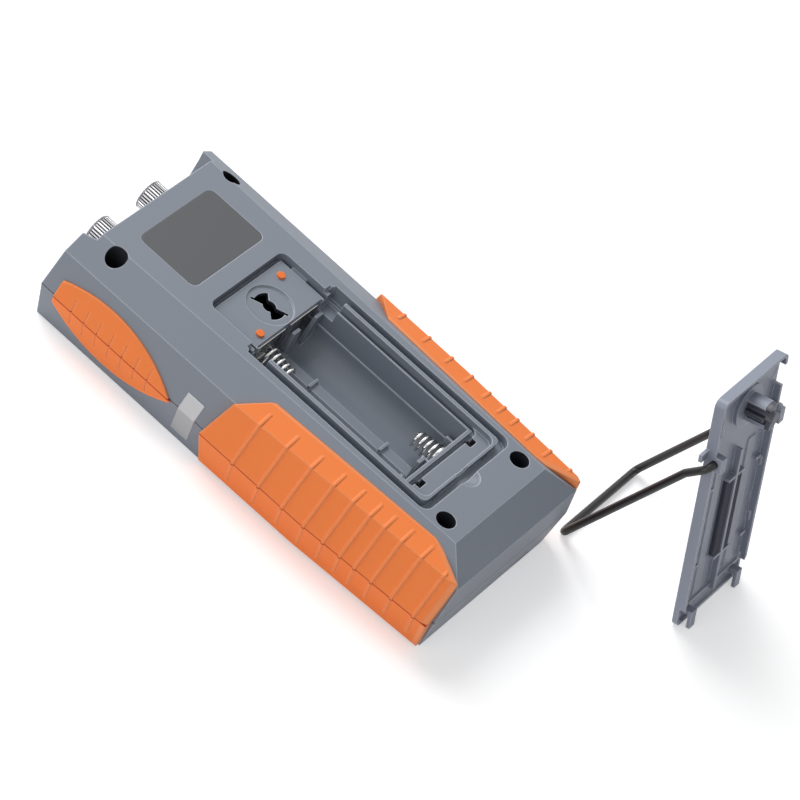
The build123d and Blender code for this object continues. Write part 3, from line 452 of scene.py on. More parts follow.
@dataclass(frozen=True)
class Finish:
    """One finish of the meter: its family, colours and surface values."""

    name: str
    family: Family
    colour: Colour
    # Colour of the painted highlight along the rounded edges.
    edge_highlight_colour: Colour
    roughness: float
    grain_scale: float = 3500.0
    grain_depth: float = 0.15
    drift: float = 0.05
    edge_width: float = 0.35 * MM
    # Strength of the painted highlight along the rounded edges.
    edge_highlight_amount: float = 0.6
    stripes: tuple[Stripe, ...] = ()

    def build(self, groups: NodeGroups) -> Material:
        """Makes the material of this finish.

        Args:
            groups: The shared node groups.

        Returns:
            The material.
        """
        material = bpy.data.materials.new(self.name)
        material.use_nodes = True
        tree = material.node_tree
        shader = tree.nodes["Principled BSDF"]
        grain = tree.nodes.new("ShaderNodeGroup")
        grain.node_tree = groups.surface_grain()
        values = {"Colour": (*self.colour, 1.0), "Edge Highlight Colour": (*self.edge_highlight_colour, 1.0),
                  "Grain Scale": self.grain_scale, "Grain Depth": self.grain_depth, "Drift": self.drift,
                  "Roughness": self.roughness, "Edge Width": self.edge_width, "Edge Highlight Amount": self.edge_highlight_amount}
        for socket, value in values.items():
            grain.inputs[socket].default_value = value
        shown = grain.outputs["Colour"]
        # Stripes paint shade, dark reflections and highlights over the grain colour.
        for stripe in self.stripes:
            band = tree.nodes.new("ShaderNodeGroup")
            band.node_tree = groups.band(stripe.band.value, BAND_CHAINS[stripe.band])
            band.inputs["Other Colour"].default_value = (*stripe.colour, 1.0)
            band.inputs["Near"].default_value = stripe.near
            band.inputs["Far"].default_value = stripe.far
            tree.links.new(shown, band.inputs["Colour"])
            shown = band.outputs["Colour"]
        tree.links.new(shown, shader.inputs["Base Color"])
        tree.links.new(grain.outputs["Roughness"], shader.inputs["Roughness"])
        tree.links.new(grain.outputs["Normal"], shader.inputs["Normal"])
        if self.family is Family.METAL:
            shader.inputs["Metallic"].default_value = 1.0
        if self.family is Family.CLEAR:
            shader.inputs["Transmission Weight"].default_value = CLEAR_TRANSMISSION
            shader.inputs["IOR"].default_value = CLEAR_IOR
        if self.family in (Family.RUBBER, Family.FOAM):
            shader.inputs["Specular IOR Level"].default_value = RUBBER_SPECULAR
        return material


HOUSING_GREY = srgb(128, 135, 146)
# Painted highlight along the housing's rounded edges.
HOUSING_EDGE_HIGHLIGHT = srgb(196, 201, 212)
# Painted shade in the gap where the two housings meet.
PARTING_GAP_SHADE = srgb(26, 27, 30)
GRIP_ORANGE = srgb(253, 136, 66)
# Painted highlight along the rounded edges of the grips, pads and pegs.
GRIP_EDGE_HIGHLIGHT = srgb(255, 166, 112)
# Painted shade in the gap where the two grip halves meet.
GRIP_PARTING_SHADE = srgb(204, 66, 16)

# The second colour of each finish is its painted highlight along the rounded edges.
FINISHES: dict[str, Finish] = {
    "housing": Finish("housing_grey_moulding", Family.MOULDED, HOUSING_GREY, HOUSING_EDGE_HIGHLIGHT, 0.5,
                      edge_width=0.45 * MM, edge_highlight_amount=0.85,
                      # Painted shade along the housing's parting gap.
                      stripes=(Stripe(Band.PARTING, PARTING_GAP_SHADE, 0.14 * MM, 0.24 * MM),
                               # Painted shade inside the screw wells, keyhole and hook slots.
                               Stripe(Band.HOLLOW, srgb(34, 37, 43), 0.0, 0.15 * MM))),
    "door": Finish("door_grey_moulding", Family.MOULDED, srgb(142, 148, 163), srgb(200, 204, 214), 0.42,
                   edge_width=0.4 * MM, edge_highlight_amount=0.9),
    "grip": Finish("grip_orange_rubber", Family.RUBBER, GRIP_ORANGE, GRIP_EDGE_HIGHLIGHT, 0.55, 2600.0, 0.12, 0.05,
                   # Painted highlight on the chamfer strip inside the grip's inner and foot edges.
                   0.6 * MM, 0.8, stripes=(Stripe(Band.GRIP_EDGE_HIGHLIGHT, srgb(255, 156, 100), 1.45 * MM, 1.7 * MM),
                                           # Painted shade along the grip's parting gap.
                                           Stripe(Band.PARTING, GRIP_PARTING_SHADE, 0.12 * MM, 0.3 * MM))),
    "pad": Finish("pad_orange_rubber", Family.RUBBER, GRIP_ORANGE, GRIP_EDGE_HIGHLIGHT, 0.55, 2600.0, 0.12, 0.05,
                  # Painted shade along the pad's parting gap.
                  0.5 * MM, 0.8, stripes=(Stripe(Band.PARTING, GRIP_PARTING_SHADE, 0.12 * MM, 0.3 * MM),)),
    "peg": Finish("peg_orange_rubber", Family.RUBBER, srgb(246, 122, 52), GRIP_EDGE_HIGHLIGHT, 0.5),
    "nameplate": Finish("nameplate_grey_film", Family.PAINTED, srgb(82, 84, 87), srgb(120, 122, 126), 0.42,
                        5200.0, 0.05, 0.03),
    "seal": Finish("seal_silver_foil", Family.METAL, srgb(164, 165, 167), srgb(196, 197, 200), 0.45),
    "screw": Finish("screw_black_oxide", Family.METAL, srgb(60, 60, 64), srgb(120, 120, 124), 0.4),
    "contact": Finish("contact_nickel_plate", Family.METAL, srgb(190, 190, 188), srgb(240, 240, 238), 0.18,
                      2500.0, 0.04),
    "cap": Finish("cap_chrome_knurl", Family.METAL, srgb(226, 226, 229), srgb(240, 240, 242), 0.18, 2500.0,
                  0.02, 0.02, 0.06 * MM, 0.3,
                  # Painted dark reflection in the knurl's valleys, fading out towards the tooth tips.
                  stripes=(Stripe(Band.KNURL, srgb(44, 43, 46), 4.66 * MM, 4.86 * MM),
                           # Painted shade on the cap's chamfered rim and plain end.
                           Stripe(Band.CAP_RIM, srgb(120, 120, 124), 0.35 * MM, 0.75 * MM))),
    "port": Finish("port_nickel_barrel", Family.METAL, srgb(180, 180, 182), srgb(230, 230, 230), 0.25),
    "module": Finish("module_metal_can", Family.METAL, srgb(160, 160, 164), srgb(200, 200, 204), 0.35),
    "board": Finish("board_green_mask", Family.PAINTED, srgb(22, 92, 52), srgb(60, 120, 80), 0.35),
    "display": Finish("display_grey_cell", Family.PAINTED, srgb(146, 156, 136), srgb(160, 170, 150), 0.2),
    "window": Finish("window_clear_plastic", Family.CLEAR, srgb(225, 230, 232), srgb(235, 238, 240), 0.06,
                     2000.0, 0.0, 0.0),
    "key": Finish("key_dark_rubber", Family.RUBBER, srgb(60, 63, 70), srgb(96, 100, 108), 0.55),
    "web": Finish("keypad_grey_rubber", Family.RUBBER, srgb(84, 88, 96), srgb(110, 114, 122), 0.6),
    "foam": Finish("foam_dark_grey", Family.FOAM, srgb(70, 72, 82), srgb(104, 106, 116), 0.9, 1500.0, 0.7,
                   0.2),
    "lock": Finish("lock_dark_moulding", Family.MOULDED, srgb(66, 69, 78), srgb(128, 132, 142), 0.4),
    "bail": Finish("bail_black_gloss", Family.PAINTED, srgb(14, 14, 16), srgb(40, 40, 42), 0.38, 2000.0, 0.03,
                   0.02, 0.1 * MM, 0.2),
}


class Finishes:
    """Builds each finish once and hands it out by its short name."""

    def __init__(self) -> None:
        """Starts with no material made."""
        self.groups = NodeGroups()
        self._made: dict[str, Material] = {}

    def get(self, name: str) -> Material:
        """Returns the material of one finish.

        Args:
            name: The finish's key in FINISHES.

        Returns:
            The material, made on first use.
        """
        if name not in self._made:
            self._made[name] = FINISHES[name].build(self.groups)
        return self._made[name]


def add_piece(name: str, data: bpy.types.ID) -> Piece:
    """Puts a new object in the scene.

    Args:
        name: Name of the object.
        data: Its mesh, lamp or camera.

    Returns:
        The object.
    """
    piece = bpy.data.objects.new(name, data)
    bpy.context.scene.collection.objects.link(piece)
    return piece


def cleaned(source: Piece, flat_angle: float) -> bmesh.types.BMesh:
    """Copies a piece's mesh into the shared frame and joins the facets of its flat faces.

    Args:
        source: The piece.
        flat_angle: Faces that turn by less than this many radians are joined.

    Returns:
        The mesh to edit.
    """
    work = bmesh.new()
    work.from_mesh(source.data)
    work.transform(source.matrix_world)
    bmesh.ops.remove_doubles(work, verts=work.verts[:], dist=MERGE)
    bmesh.ops.dissolve_limit(work, angle_limit=flat_angle, verts=work.verts[:], edges=work.edges[:])
    return work


@dataclass(frozen=True)
class Cut:
    """Slanted plane that slices a narrow chamfer off the long edge of a grip."""

    start: Vector
    end: Vector
    low: Vector
    inside: Vector

    def slice(self, work: bmesh.types.BMesh) -> None:
        """Cuts the mesh, drops what lies outside the plane and closes the face that is left.

        Args:
            work: The mesh to cut.
        """
        normal = (self.end - self.start).cross(self.low - self.start).normalized()
        if normal.dot(self.inside - self.start) > 0:
            normal = -normal
        parts = work.verts[:] + work.edges[:] + work.faces[:]
        found = bmesh.ops.bisect_plane(work, geom=parts, dist=CUT_TOLERANCE, plane_co=self.start,
                                       plane_no=normal, clear_outer=True)
        rim = [item for item in found["geom_cut"] if isinstance(item, bmesh.types.BMEdge)]
        bmesh.ops.holes_fill(work, edges=rim, sides=0)
        bmesh.ops.recalc_face_normals(work, faces=work.faces[:])


@dataclass
class SoftEdges:
    """Copies CAD nodes with their sharp edges rounded over, and stands the copies in for them."""

    frame: dict[str, Any]
    finishes: Finishes
    flat_angle: float = math.radians(1.2)
    edge_share: float = 0.4

    def rounded(self, node: str, body: str, finish: str, slot: str, width: float, segments: int = 2,
                sharp_angle: float = 25.0, cuts: Sequence[Cut] = ()) -> Piece:
        """Makes the rounded copy of one node and rides it on the node's body.

        Args:
            node: Name of the CAD node.
            body: Name of the body that carries it.
            finish: Short name of the finish.
            slot: The record's material slot; not used.
            width: Width of the rounding in metres.
            segments: Steps across the rounding.
            sharp_angle: Edges that turn by less than this many degrees stay as they are.
            cuts: Planes that slice a chamfer off the piece first.

        Returns:
            The copy.
        """
        source = self.frame["nodes"][node]
        mesh = source.data.copy()
        work = cleaned(source, self.flat_angle)
        for cut in cuts:
            cut.slice(work)
        self.weigh(work, width, math.radians(sharp_angle))
        work.to_mesh(mesh)
        work.free()
        mesh.shade_smooth()
        mesh.materials.clear()
        mesh.materials.append(self.finishes.get(finish))
        copy = add_piece(f"{node}_rounded", mesh)
        bevel = copy.modifiers.new("edges", "BEVEL")
        bevel.width = width
        bevel.segments = segments
        bevel.limit_method = "WEIGHT"
        bevel.use_clamp_overlap = True
        bevel.miter_outer = "MITER_ARC"
        level = copy.modifiers.new("flat_faces", "WEIGHTED_NORMAL")
        level.weight = CORNER_WEIGHT
        level.keep_sharp = True
        plain = bake(copy, f"{node}_skin")
        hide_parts(node)
        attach(plain, body)
        return plain

    def weigh(self, work: bmesh.types.BMesh, width: float, sharp_angle: float) -> None:
        """Gives each sharp edge the share of the rounding that its neighbours leave room for.

        Args:
            work: The mesh.
            width: Full width of the rounding.
            sharp_angle: Least turn in radians of an edge that is rounded.
        """
        layer = work.edges.layers.float.get("bevel_weight_edge") or \
            work.edges.layers.float.new("bevel_weight_edge")
        for edge in work.edges:
            if len(edge.link_faces) == 2 and edge.calc_face_angle() > sharp_angle:
                room = min(other.calc_length() for vertex in edge.verts for other in vertex.link_edges)
                edge[layer] = min(1.0, self.edge_share * room / width)


def bake(source: Piece, name: str) -> Piece:
    """Turns an object with modifiers into a plain mesh object.

    Args:
        source: The object with its modifiers, which is removed.
        name: Name of the result.

    Returns:
        The plain object at the origin.
    """
    bpy.context.view_layer.update()
    graph = bpy.context.evaluated_depsgraph_get()
    mesh = bpy.data.meshes.new_from_object(source.evaluated_get(graph))
    mesh.name = name
    plain = add_piece(name, mesh)
    bpy.data.objects.remove(source, do_unlink=True)
    return plain


def shade_by_angle(piece: Piece, degrees: float) -> None:
    """Smooths a mesh but keeps edges sharper than an angle.

    Args:
        piece: The mesh object.
        degrees: Largest turn that still shades smooth.
    """
    piece.data.shade_smooth()
    piece.data.set_sharp_from_angle(angle=math.radians(degrees))


@dataclass
class Section:
    """Pieces of the meter that are dressed together."""

    frame: dict[str, Any]
    finishes: Finishes

    def dress(self, finish: str, *nodes: str) -> None:
        """Gives CAD nodes that stay in view their finish.

        Args:
            finish: Short name of the finish.
            nodes: Node names.
        """
        for node in nodes:
            piece = self.frame["nodes"][node]
            if not piece.material_slots:
                piece.data.materials.append(self.finishes.get(finish))
            for slot in piece.material_slots:
                slot.material = self.finishes.get(finish)


def maker_tree(name: str, values: dict[str, float]) -> Tree:
    """Starts a Geometry Nodes tree with named sizes as inputs and one geometry as output.

    Args:
        name: Name of the tree.
        values: The sizes, by input name.

    Returns:
        The tree.
    """
    tree = bpy.data.node_groups.new(name, "GeometryNodeTree")
    for label, value in values.items():
        socket = tree.interface.new_socket(name=label, in_out="INPUT", socket_type="NodeSocketFloat")
        socket.default_value = value
    tree.interface.new_socket(name="Geometry", in_out="OUTPUT", socket_type="NodeSocketGeometry")
    return tree


def finish_tree(tree: Tree, shape: Socket, material: Material) -> None:
    """Ends a Geometry Nodes tree: real geometry with its material.

    Args:
        tree: The tree.
        shape: The shape's socket.
        material: Finish of the shape.
    """
    realize, paint = tree.nodes.new("GeometryNodeRealizeInstances"), tree.nodes.new("GeometryNodeSetMaterial")
    outputs = tree.nodes.new("NodeGroupOutput")
    paint.inputs["Material"].default_value = material
    tree.links.new(shape, realize.inputs["Geometry"])
    tree.links.new(realize.outputs["Geometry"], paint.inputs["Geometry"])
    tree.links.new(paint.outputs["Geometry"], outputs.inputs["Geometry"])


def grow(name: str, tree: Tree, values: dict[str, float]) -> Piece:
    """Runs a Geometry Nodes tree on an empty object and keeps the mesh that it makes.

    Args:
        name: Name of the piece.
        tree: The Geometry Nodes tree.
        values: Values of the tree's inputs, by name.

    Returns:
        The plain mesh object.
    """
    holder = add_piece(name + "_maker", bpy.data.meshes.new(name + "_maker"))
    modifier = holder.modifiers.new("maker", "NODES")
    modifier.node_group = tree
    for item in tree.interface.items_tree:
        if item.item_type == "SOCKET" and item.in_out == "INPUT" and item.name in values:
            modifier[item.identifier] = values[item.name]
    return bake(holder, name)


@dataclass
class SpringMaker:
    """Geometry Nodes that wind a battery spring round the Y axis."""

    turns: float = 5.0
    base_radius: float = 3.6 * MM
    tip_radius: float = 2.4 * MM
    length: float = 9.3 * MM
    wire: float = 0.45 * MM
    droop: float = 0.03
    steps_per_turn: int = 28
    wire_sides: int = 10

    @property
    def values(self) -> dict[str, float]:
        """The tree's inputs, by name."""
        return {"Turns": self.turns, "Base Radius": self.base_radius, "Tip Radius": self.tip_radius,
                "Length": self.length, "Wire": self.wire}

    def tree(self, material: Material) -> Tree:
        """Builds the spring's node tree.

        Args:
            material: Finish of the wire.

        Returns:
            The tree, with its sizes as named inputs.
        """
        tree = maker_tree("battery_spring", self.values)
        add = tree.nodes.new
        link = tree.links.new
        inputs, spiral = add("NodeGroupInput"), add("GeometryNodeCurveSpiral")
        circle, sweep = add("GeometryNodeCurvePrimitiveCircle"), add("GeometryNodeCurveToMesh")
        spiral.inputs["Resolution"].default_value = self.steps_per_turn
        circle.inputs["Resolution"].default_value = self.wire_sides
        link(inputs.outputs["Turns"], spiral.inputs["Rotations"])
        link(inputs.outputs["Base Radius"], spiral.inputs["Start Radius"])
        link(inputs.outputs["Tip Radius"], spiral.inputs["End Radius"])
        link(inputs.outputs["Length"], spiral.inputs["Height"])
        link(inputs.outputs["Wire"], circle.inputs["Radius"])
        link(spiral.outputs["Curve"], sweep.inputs["Curve"])
        link(circle.outputs["Curve"], sweep.inputs["Profile Curve"])
        sweep.inputs["Fill Caps"].default_value = True
        smooth = add("GeometryNodeSetShadeSmooth")
        link(sweep.outputs["Mesh"], smooth.inputs["Geometry"])
        finish_tree(tree, smooth.outputs["Geometry"], material)
        return tree

    def wind(self, name: str, tree: Tree, base: Vector, inward: int) -> Piece:
        """Winds one spring and lays it along Y.

        Args:
            name: Name of the piece.
            tree: The spring's tree.
            base: Middle of the spring's wide end.
            inward: Direction of the free end along Y.

        Returns:
            The spring as a plain mesh.
        """
        piece = grow(name, tree, self.values)
        lay = Matrix.Rotation(-inward * math.pi / 2, 4, "X")
        hang = Matrix.Rotation(-inward * self.droop, 4, "X")
        piece.data.transform(Matrix.Translation(base) @ hang @ lay)
        return piece


@dataclass
class BatteryBay(Section):
    """Contacts and springs of the battery bay."""

    maker: SpringMaker = field(default_factory=SpringMaker)

    def build(self) -> None:
        """Dresses the contacts and winds both springs."""
        self.dress("contact", "battery_terminal_negative", "battery_terminal_positive", "battery_bridge")
        tree = self.maker.tree(self.finishes.get("contact"))
        for node, inward in (("battery_spring_port_end", -1), ("battery_spring_foot_end", 1)):
            low, high = (Vector(corner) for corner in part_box(node))
            middle = (low + high) / 2
            end_y = high.y if inward < 0 else low.y
            base = Vector((middle.x, end_y + inward * self.maker.wire, middle.z))
            spring = self.maker.wind(node + "_coil", tree, base, inward)
            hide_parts(node)
            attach(spring, METER_BODY)
        LOG.info("battery bay dressed")


@dataclass
class KnurlMaker:
    """Geometry Nodes that turn a knurled dust cap: toothed skirt, chamfered rim, plain end and bore."""

    teeth: int = 32
    radius: float = 4.9 * MM
    tooth_depth: float = 0.3 * MM
    skirt: float = 7.9 * MM
    collar: float = 0.8 * MM
    end_length: float = 1.0 * MM
    end_radius: float = 3.3 * MM
    bore: float = 3.97 * MM
    bore_depth: float = 7.0 * MM
    steps: int = 17
    rim_scale: float = 0.9
    overlap: float = 0.9
    collar_sides: int = 64
    end_sides: int = 40
    bore_sides: int = 48
    smooth_angle: float = 20.0

    @property
    def values(self) -> dict[str, float]:
        """The tree's inputs, by name."""
        return {"Radius": self.radius, "Root Radius": self.radius - self.tooth_depth,
                "End Radius": self.end_radius, "Bore Radius": self.bore}

    def _rod(self, tree: Tree, profile: Socket, low: float, high: float, shaped: bool) -> Socket:
        """Sweeps a profile along the cap's axis.

        Args:
            tree: The tree that it is built in.
            profile: The closed profile curve.
            low: Where the sweep starts along the axis.
            high: Where it ends.
            shaped: Whether its ends are chamfered.

        Returns:
            The swept solid.
        """
        add = tree.nodes.new
        link = tree.links.new
        line, fine = add("GeometryNodeCurvePrimitiveLine"), add("GeometryNodeResampleCurve")
        sweep = add("GeometryNodeCurveToMesh")
        line.inputs["Start"].default_value = (0.0, 0.0, low)
        line.inputs["End"].default_value = (0.0, 0.0, high)
        fine.inputs["Count"].default_value = self.steps
        sweep.inputs["Fill Caps"].default_value = True
        link(line.outputs["Curve"], fine.inputs["Curve"])
        link(fine.outputs["Curve"], sweep.inputs["Curve"])
        link(profile, sweep.inputs["Profile Curve"])
        if shaped:
            along = add("GeometryNodeSplineParameter")
            last_step = 1.0 - 1.0 / (self.steps - 1)
            limits = {"From Min": last_step, "To Min": 1.0, "To Max": self.rim_scale}
            link(ranged(tree, along.outputs["Factor"], limits), sweep.inputs["Scale"])
        return sweep.outputs["Mesh"]

    def tree(self, skin: Material) -> Tree:
        """Builds the cap's node tree.

        Args:
            skin: Finish of the cap.

        Returns:
            The tree, with its sizes as named inputs.
        """
        tree = maker_tree("knurled_cap", self.values)
        add = tree.nodes.new
        link = tree.links.new
        inputs, star = add("NodeGroupInput"), add("GeometryNodeCurveStar")
        collar, end = add("GeometryNodeCurvePrimitiveCircle"), add("GeometryNodeCurvePrimitiveCircle")
        star.inputs["Points"].default_value = self.teeth
        link(inputs.outputs["Radius"], star.inputs["Outer Radius"])
        link(inputs.outputs["Root Radius"], star.inputs["Inner Radius"])
        for circle, source, sides in ((collar, "Radius", self.collar_sides),
                                      (end, "End Radius", self.end_sides)):
            circle.inputs["Resolution"].default_value = sides
            link(inputs.outputs[source], circle.inputs["Radius"])
        top = self.collar + self.skirt
        foot = self.collar * self.overlap
        whole, bored = add("GeometryNodeMeshBoolean"), add("GeometryNodeMeshBoolean")
        whole.operation = "UNION"
        for piece in (self._rod(tree, collar.outputs["Curve"], 0.0, self.collar, False),
                      self._rod(tree, star.outputs["Curve"], foot, top - self.end_length, True),
                      self._rod(tree, end.outputs["Curve"], self.collar, top, True)):
            link(piece, whole.inputs["Mesh 2"])
        drill = add("GeometryNodeMeshCylinder")
        drill.inputs["Vertices"].default_value = self.bore_sides
        drill.inputs["Depth"].default_value = 2 * self.bore_depth
        link(inputs.outputs["Bore Radius"], drill.inputs["Radius"])
        bored.operation = "DIFFERENCE"
        link(whole.outputs["Mesh"], bored.inputs["Mesh 1"])
        link(drill.outputs["Mesh"], bored.inputs["Mesh 2"])
        finish_tree(tree, bored.outputs["Mesh"], skin)
        return tree

    def turn(self, name: str, tree: Tree, base: Vector) -> Piece:
        """Turns one cap and stands it on the port end.

        Args:
            name: Name of the piece.
            tree: The cap's tree.
            base: Middle of the cap's open end.

        Returns:
            The cap as a plain mesh along +Y.
        """
        piece = grow(name, tree, self.values)
        piece.data.transform(Matrix.Translation(base) @ Matrix.Rotation(-math.pi / 2, 4, "X"))
        shade_by_angle(piece, self.smooth_angle)
        return piece


class Station(NamedTuple):
    """Section of a big grip at one place along the meter, in millimetres."""

    y: float
    inner: float
    ridge: float
    ridge_z: float
    flank: float


@dataclass
class GripEdges:
    """Chamfer cuts along the inner and foot edges of a big grip, from the grip's plan and section."""

    stations: tuple[Station, ...] = (Station(15.5, 26.9, 36.2, 27.4, 40.2),
                                     Station(-26.0, 25.6, 34.6, 28.6, 40.0),
                                     Station(-74.3, 23.2, 31.8, 29.2, 36.6))
    heart: tuple[float, float, float] = (34.0, -30.0, 15.0)
    parting: float = 13.5
    crest: float = 31.0
    width: float = 1.6
    drop: float = 0.65

    def section(self, y: float) -> Station:
        """Interpolates the grip's section at one place.

        Args:
            y: Place along the meter in millimetres.

        Returns:
            The section there.
        """
        top, middle, foot = self.stations
        upper, lower = (top, middle) if y > middle.y else (middle, foot)
        share = (y - lower.y) / (upper.y - lower.y)
        return Station(*(low + (high - low) * share for low, high in zip(lower, upper)))

    def top_at(self, x: float, y: float) -> Vector:
        """Point on the grip's top facet.

        Args:
            x: Sideways place in millimetres.
            y: Lengthwise place in millimetres.

        Returns:
            The point in millimetres.
        """
        here = self.section(y)
        share = (x - here.inner) / (here.ridge - here.inner)
        return Vector((x, y, self.crest + (here.ridge_z - self.crest) * share))

    def cuts(self, side: str) -> list[Cut]:
        """Works out the cuts of one grip: three chamfers and the upright foot plane that ends the ribs.

        Args:
            side: Which grip, left or right.

        Returns:
            The cuts in metres.
        """
        mirror = -1.0 if side == "left" else 1.0
        heart = Vector(self.heart)
        lines = []
        for (x0, y0), (x1, y1) in ((GRIP_INNER_TOP, GRIP_INNER_FOOT), (GRIP_INNER_FOOT, GRIP_FOOT)):
            along = Vector((x1 - x0, y1 - y0)).normalized()
            inward = Vector((-along.y, along.x)) * self.width
            start, end = self.top_at(x0 + inward.x, y0 + inward.y), self.top_at(x1 + inward.x, y1 + inward.y)
            low = self.top_at((x0 + x1) / 2, (y0 + y1) / 2) - Vector((0, 0, self.drop))
            lines.append((start, end, low))
        foot = self.section(GRIP_FOOT[1])
        inset_y = foot.y + self.width
        side_low = Vector(((foot.ridge + foot.flank) / 2 - self.drop, foot.y,
                           (foot.ridge_z + self.parting) / 2))
        lines.append((Vector((foot.ridge, inset_y, foot.ridge_z)),
                      Vector((foot.flank, inset_y, self.parting)), side_low))
        near, far = GRIP_INNER_FOOT, GRIP_FOOT
        lines.append((Vector((*near, 0)), Vector((*far, 0)), Vector((*near, self.crest))))
        return [Cut(*(Vector((point.x * mirror, point.y, point.z)) * MM for point in (*line, heart)))
                for line in lines]


@dataclass
class MeterCase(Section):
    """Housings, grips, pads, nameplate, label and screws."""

    soft: SoftEdges
    edges: GripEdges = field(default_factory=GripEdges)

    def build(self) -> None:
        """Rounds over the case pieces and dresses the rest."""
        for node in ("back_housing", "front_housing"):
            self.soft.rounded(node, METER_BODY, "housing", "housing", 0.3 * MM)
        for half in ("rear", "front"):
            for side in SIDES:
                cuts = self.edges.cuts(side) if half == "rear" else ()
                self.soft.rounded(f"grip_{half}_{side}", METER_BODY, "grip", "grip_rubber", 0.22 * MM,
                                  sharp_angle=14.0, cuts=cuts)
                self.soft.rounded(f"finger_pad_{half}_{side}", METER_BODY, "pad", "grip_rubber", 0.25 * MM)
        self.dress("nameplate", "nameplate")
        self.dress("seal", "seal_label")
        self.dress("screw", "case_screws")
        self.dress("peg", "recess_peg_1", "recess_peg_2")
        LOG.info("case dressed")


@dataclass
class PortEnd(Section):
    """Ports, their modules and the knurled caps."""

    maker: KnurlMaker = field(default_factory=KnurlMaker)

    def build(self) -> None:
        """Dresses both ports and turns both caps."""
        tree = self.maker.tree(self.finishes.get("cap"))
        for name in ("detector", "source"):
            self.dress("port", f"{name}_port")
            self.dress("module", f"{name}_module")
            low, high = (Vector(corner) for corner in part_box(f"{name}_cap"))
            middle = (low + high) / 2
            cap = self.maker.turn(f"{name}_cap_knurled", tree, Vector((middle.x, low.y, middle.z)))
            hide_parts(f"{name}_cap")
            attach(cap, f"{name}_cap")
        LOG.info("ports dressed")


@dataclass
class FrontFace(Section):
    """Display, window, keys and the board behind them."""

    key_count: int = 6

    def build(self) -> None:
        """Dresses the pieces of the front face."""
        self.dress("board", "main_board")
        self.dress("display", "display_module")
        self.dress("window", "display_window")
        self.dress("web", "keypad_web")
        self.dress("key", *(f"key_{index}" for index in range(1, self.key_count + 1)))
        LOG.info("front face dressed")


@dataclass
class FoamMaker:
    """Soft foam strips: rounded, divided and pressed a little out of true."""

    rounding: float = 0.35 * MM
    cuts: int = 9
    waviness: float = 0.12 * MM
    wave_scale: float = 420.0
    flat_angle: float = math.radians(2.0)
    long_edge: float = 3 * MM
    sharp_turn: float = 1.0
    smooth_angle: float = 60.0

    def build(self, source: Piece, material: Material, name: str) -> Piece:
        """Makes the foam from the plain solid that keeps its place.

        Args:
            source: The plain solid.
            material: The foam's finish.
            name: Name of the piece.

        Returns:
            The foam.
        """
        mesh = bpy.data.meshes.new(name)
        work = cleaned(source, self.flat_angle)
        long_edges = [edge for edge in work.edges if edge.calc_length() > self.long_edge]
        bmesh.ops.subdivide_edges(work, edges=long_edges, cuts=self.cuts, use_grid_fill=True)
        sharp = [edge for edge in work.edges
                 if len(edge.link_faces) == 2 and edge.calc_face_angle() > self.sharp_turn]
        bmesh.ops.bevel(work, geom=sharp, offset=self.rounding, segments=3, profile=0.5, affect="EDGES")
        work.normal_update()
        for vertex in work.verts:
            dip = noise.noise(vertex.co * self.wave_scale) - 1.0
            vertex.co += vertex.normal * dip * self.waviness / 2
        work.to_mesh(mesh)
        work.free()
        mesh.materials.append(material)
        foam = add_piece(name, mesh)
        shade_by_angle(foam, self.smooth_angle)
        return foam


@dataclass
class DoorAssembly(Section):
    """Battery door, foam, lock and bail."""

    soft: SoftEdges
    foam_maker: FoamMaker = field(default_factory=FoamMaker)

    def build(self) -> None:
        """Rounds over and dresses the door's pieces."""
        self.soft.rounded("battery_door", DOOR_BODY, "door", "housing", 0.2 * MM)
        self.soft.rounded("lock_knob", "lock", "lock", "lock_dark", 0.15 * MM)
        source = self.frame["nodes"]["door_foam"]
        foam = self.foam_maker.build(source, self.finishes.get("foam"), "foam_strips")
        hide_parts("door_foam")
        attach(foam, DOOR_BODY)
        self.dress("bail", "bail_stand")
        LOG.info("door dressed")


@dataclass(frozen=True)
class Softbox:
    """One square lamp: where it hangs, its side and its power in watts."""

    name: str
    place: tuple[float, float, float]
    size: float
    power: float


